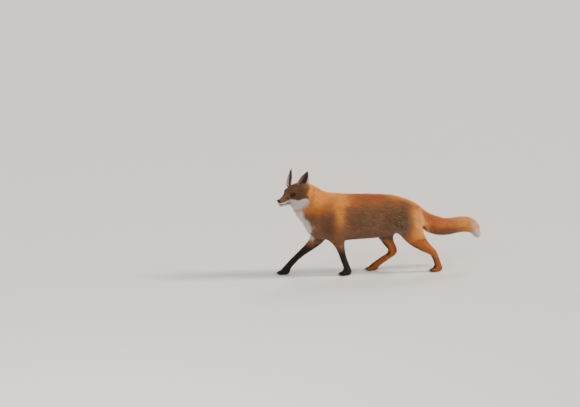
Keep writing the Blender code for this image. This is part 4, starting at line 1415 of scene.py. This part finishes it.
class FOX_OT_mouth(bpy.types.Operator):
    """Makes the dark lips along the mouth's line and the whiskers"""

    bl_idname = "fox.mouth"
    bl_label = "Lips and whiskers"

    def execute(self, context):
        face = context.scene.fox_face
        outline, _ = body_outline()
        surface = BVHTree.FromPolygons(outline.inner.tolist(), outline.triangles.tolist())
        lip_finish = leather_material("fox_lips", times(face.leather, 0.9), 0.40, 1100.0, 0.0003)
        back = np.linspace(MOUTH_CORNER, 0.0125, 26)
        heights = MOUTH_HEIGHT - MOUTH_SLOPE * back
        left, right = ([self.hit(surface, x, side, z) for x, z in zip(back, heights)] for side in (-1, 1))
        path = np.array([*left, *right[::-1]])
        place = np.arange(len(path))
        radius = LIP_RADIUS * np.clip(np.minimum(place, place[::-1]) / 8, 0.25, 1)
        grid_piece("lips", [tube(path, radius, 8)], lip_finish, "leather")
        hair_finish = horn_material("fox_whisker", WHISKER_COLOUR)
        grid_piece("whiskers", self.whiskers(surface, face.whisker), hair_finish, "leather")
        return {"FINISHED"}

    def hit(self, surface, x, side, z):
        """Where a level line out from the head's middle leaves the skin."""
        origin = from_head([x, 0.0, z])
        place = surface.ray_cast(Vector(origin), Vector(head_axes()[0][1] * side))[0]
        return np.array(place) if place is not None else origin

    def whiskers(self, surface, longest):
        """Thin tapering hairs in four rows on each side of the muzzle, sweeping out, back and a bit down."""
        made = []
        t = np.linspace(0, 1, 9)[:, None]
        for side, row, k in product((-1, 1), range(4), range(4)):
            x, z = 0.020 + 0.0065 * k + 0.002 * row, 0.0005 - 0.0032 * row
            root = to_head(self.hit(surface, x, side, z))
            long = longest * (0.55 + 0.12 * k + 0.05 * row)
            out = unit(np.array([0.80 + 0.10 * k, side * (0.62 - 0.05 * k), -0.10 - 0.13 * row]))
            sweep = np.array([0.28, -side * 0.10, -0.22])
            path = root + long * (t * out + t**2 * sweep)
            made.append(tube(from_head(path), WHISKER_RADIUS * (1 - 0.8 * t[:, 0]), 5))
        return made


class FOX_OT_feet(bpy.types.Operator):
    """Makes the claws and the bare pads under the paws"""

    bl_idname = "fox.feet"
    bl_label = "Claws and pads"

    def execute(self, context):
        claws, pads = [], []
        for paw in PAWS:
            origin, ahead, right = paw_axes(paw)
            pads.append(self.pad(origin, ahead, right, *MAIN_PAD))
            for forward, across in TOE_ROW:
                toe = origin + right * across * 0.94
                claws.append(self.claw(toe + ahead * (forward + 0.0110), ahead))
                pads.append(self.pad(toe + ahead * (forward + 0.0005), ahead, right, *TOE_PAD))
        grid_piece("claws", claws, horn_material("fox_claw", CLAW_COLOUR), "leather")
        pad_finish = leather_material("fox_pad", context.scene.fox_face.leather, 0.6, 1000.0, 0.0004)
        grid_piece("pads", pads, pad_finish, "leather")
        return {"FINISHED"}

    def claw(self, root, ahead):
        """A curved cone out of a toe, forwards and down, its point just off the floor."""
        t = np.linspace(0, 1, 9)[:, None]
        path = root + ahead * 0.0095 * t + UP * (0.0092 - 0.0008 * t - 0.0058 * t**2)
        return tube(path, 0.0017 * (1 - 0.86 * t[:, 0] ** 1.5), 8)

    def pad(self, place, ahead, right, long, wide, high):
        """A flattened ball that touches the floor."""
        way = ball(10, 14)
        way[..., 2] = np.maximum(way[..., 2], -0.9) + 0.9
        return place + way * [long, wide, high] @ np.array([ahead, right, UP])


SKY_COLOUR, SKY_STRENGTH = (0.93, 0.96, 1.0, 1), 0.55
CAMERA_TURN, CAMERA_LIFT, CAMERA_ROLL = math.radians(-5.0), math.radians(10.0), math.radians(1.5)
CAMERA_LENS, SENSOR_WIDTH = 150.0, 36.0  # millimetres
FLOOR_HALF_WIDTH = 40.0
VIEW_WIDTH = 2.784  # how much the camera takes in at the fox
AIM_RIGHT, AIM_UP = -0.42247, 0.32871  # where the camera aims, across and up from under the fox's middle
ORIGIN_MOVED = np.array([-0.0121, 0.0020, 0.0])


class FOX_OT_stage(bpy.types.Operator):
    """Sets the floor, the lights and the camera"""

    bl_idname = "fox.stage"
    bl_label = "Studio"

    def execute(self, context):
        stage = context.scene.fox_stage
        self.floor(stage.floor)
        self.world()
        sun = {"kind": "SUN", "target": (0, 0, 0)}
        self.lamp("key", (3.0, -0.55, 2.1), (1.0, 0.86, 0.68), stage.key, **sun, angle=math.radians(16))
        self.lamp("rim", (1.2, 3.0, 2.4), (1.0, 0.93, 0.84), stage.key * 0.30, **sun, angle=math.radians(24))
        square = {"kind": "AREA", "target": (0, 0, 0.2), "shape": "SQUARE"}
        self.lamp("fill", (-1.8, -3.2, 2.2), (0.94, 0.97, 1.0), stage.fill, **square, size=1.3)
        self.camera()
        return {"FINISHED"}

    def link(self, name, data):
        made = bpy.data.objects.new(name, data)
        bpy.context.scene.collection.objects.link(made)
        return made

    def floor(self, colour):
        """A wide flat sheet."""
        mesh = bpy.data.meshes.new("floor")
        corners = [(-1, -1, 0), (1, -1, 0), (1, 1, 0), (-1, 1, 0)]
        mesh.from_pydata(np.array(corners) * FLOOR_HALF_WIDTH, [], [(0, 1, 2, 3)])
        mesh.materials.append(floor_material(colour))
        self.link("floor", mesh)

    def world(self):
        world = bpy.data.worlds.new("studio")
        world.use_nodes = True
        background = world.node_tree.nodes["Background"]
        background.inputs["Color"].default_value = SKY_COLOUR
        background.inputs["Strength"].default_value = SKY_STRENGTH
        bpy.context.scene.world = world

    def lamp(self, name, place, colour, energy, kind, target, **settings):
        """A soft light that shines from its place to its target. A sun lights the whole floor evenly."""
        data = bpy.data.lights.new(name, kind)
        data.color, data.energy = colour, energy
        for setting, value in settings.items():
            setattr(data, setting, value)
        light = self.link(name, data)
        light.location = place
        light.rotation_mode = "QUATERNION"
        light.rotation_quaternion = (Vector(target) - Vector(place)).to_track_quat("-Z", "Y")

    def camera(self):
        """A long lens from the fox's left, a little above and ahead of it, level but for a small roll."""
        turn = Matrix.Rotation(CAMERA_TURN, 3, "Z") @ Matrix.Rotation(math.pi / 2 - CAMERA_LIFT, 3, "X")
        axes = turn @ Matrix.Rotation(-CAMERA_ROLL, 3, "Z")
        across, above, behind = np.array(axes.transposed())
        distance = VIEW_WIDTH * CAMERA_LENS / SENSOR_WIDTH
        place = ORIGIN_MOVED + AIM_RIGHT * across + AIM_UP * above + distance * behind
        data = bpy.data.cameras.new("camera")
        data.lens, data.sensor_width, data.clip_end = CAMERA_LENS, SENSOR_WIDTH, 100.0
        camera = self.link("camera", data)
        camera.matrix_world = Matrix.Translation(place) @ axes.to_4x4()
        bpy.context.scene.camera = camera


class FOX_PT_sidebar(bpy.types.Panel):
    """Lists the fox's pieces"""

    bl_idname = "FOX_PT_sidebar"
    bl_label = "Walking red fox"
    bl_space_type = "VIEW_3D"
    bl_region_type = "UI"
    bl_category = "Fox"

    def draw(self, context):
        for operator in OPERATORS:
            self.layout.operator(operator.bl_idname)
        for group in (context.scene.fox_coat, context.scene.fox_face, context.scene.fox_stage):
            for name in group.__annotations__:
                self.layout.prop(group, name)


PIECES = (FOX_OT_skin, FOX_OT_coat, FOX_OT_ears, FOX_OT_eyes, FOX_OT_nose, FOX_OT_mouth, FOX_OT_feet)
OPERATORS = (*PIECES, FOX_OT_stage)
GROUPS = {"fox_coat": FoxCoatSettings, "fox_face": FoxFaceSettings, "fox_stage": FoxStageSettings}


def register():
    for group in (*GROUPS.values(), *OPERATORS, FOX_PT_sidebar):
        bpy.utils.register_class(group)
    for name, group in GROUPS.items():
        setattr(bpy.types.Scene, name, bpy.props.PointerProperty(type=group))


def unregister():
    for name in GROUPS:
        delattr(bpy.types.Scene, name)
    for group in (FOX_PT_sidebar, *OPERATORS, *GROUPS.values()):
        bpy.utils.unregister_class(group)


def main():
    register()
    for operator in OPERATORS:
        group, name = operator.bl_idname.split(".")
        getattr(getattr(bpy.ops, group), name)()


if __name__ == "__main__":
    main()
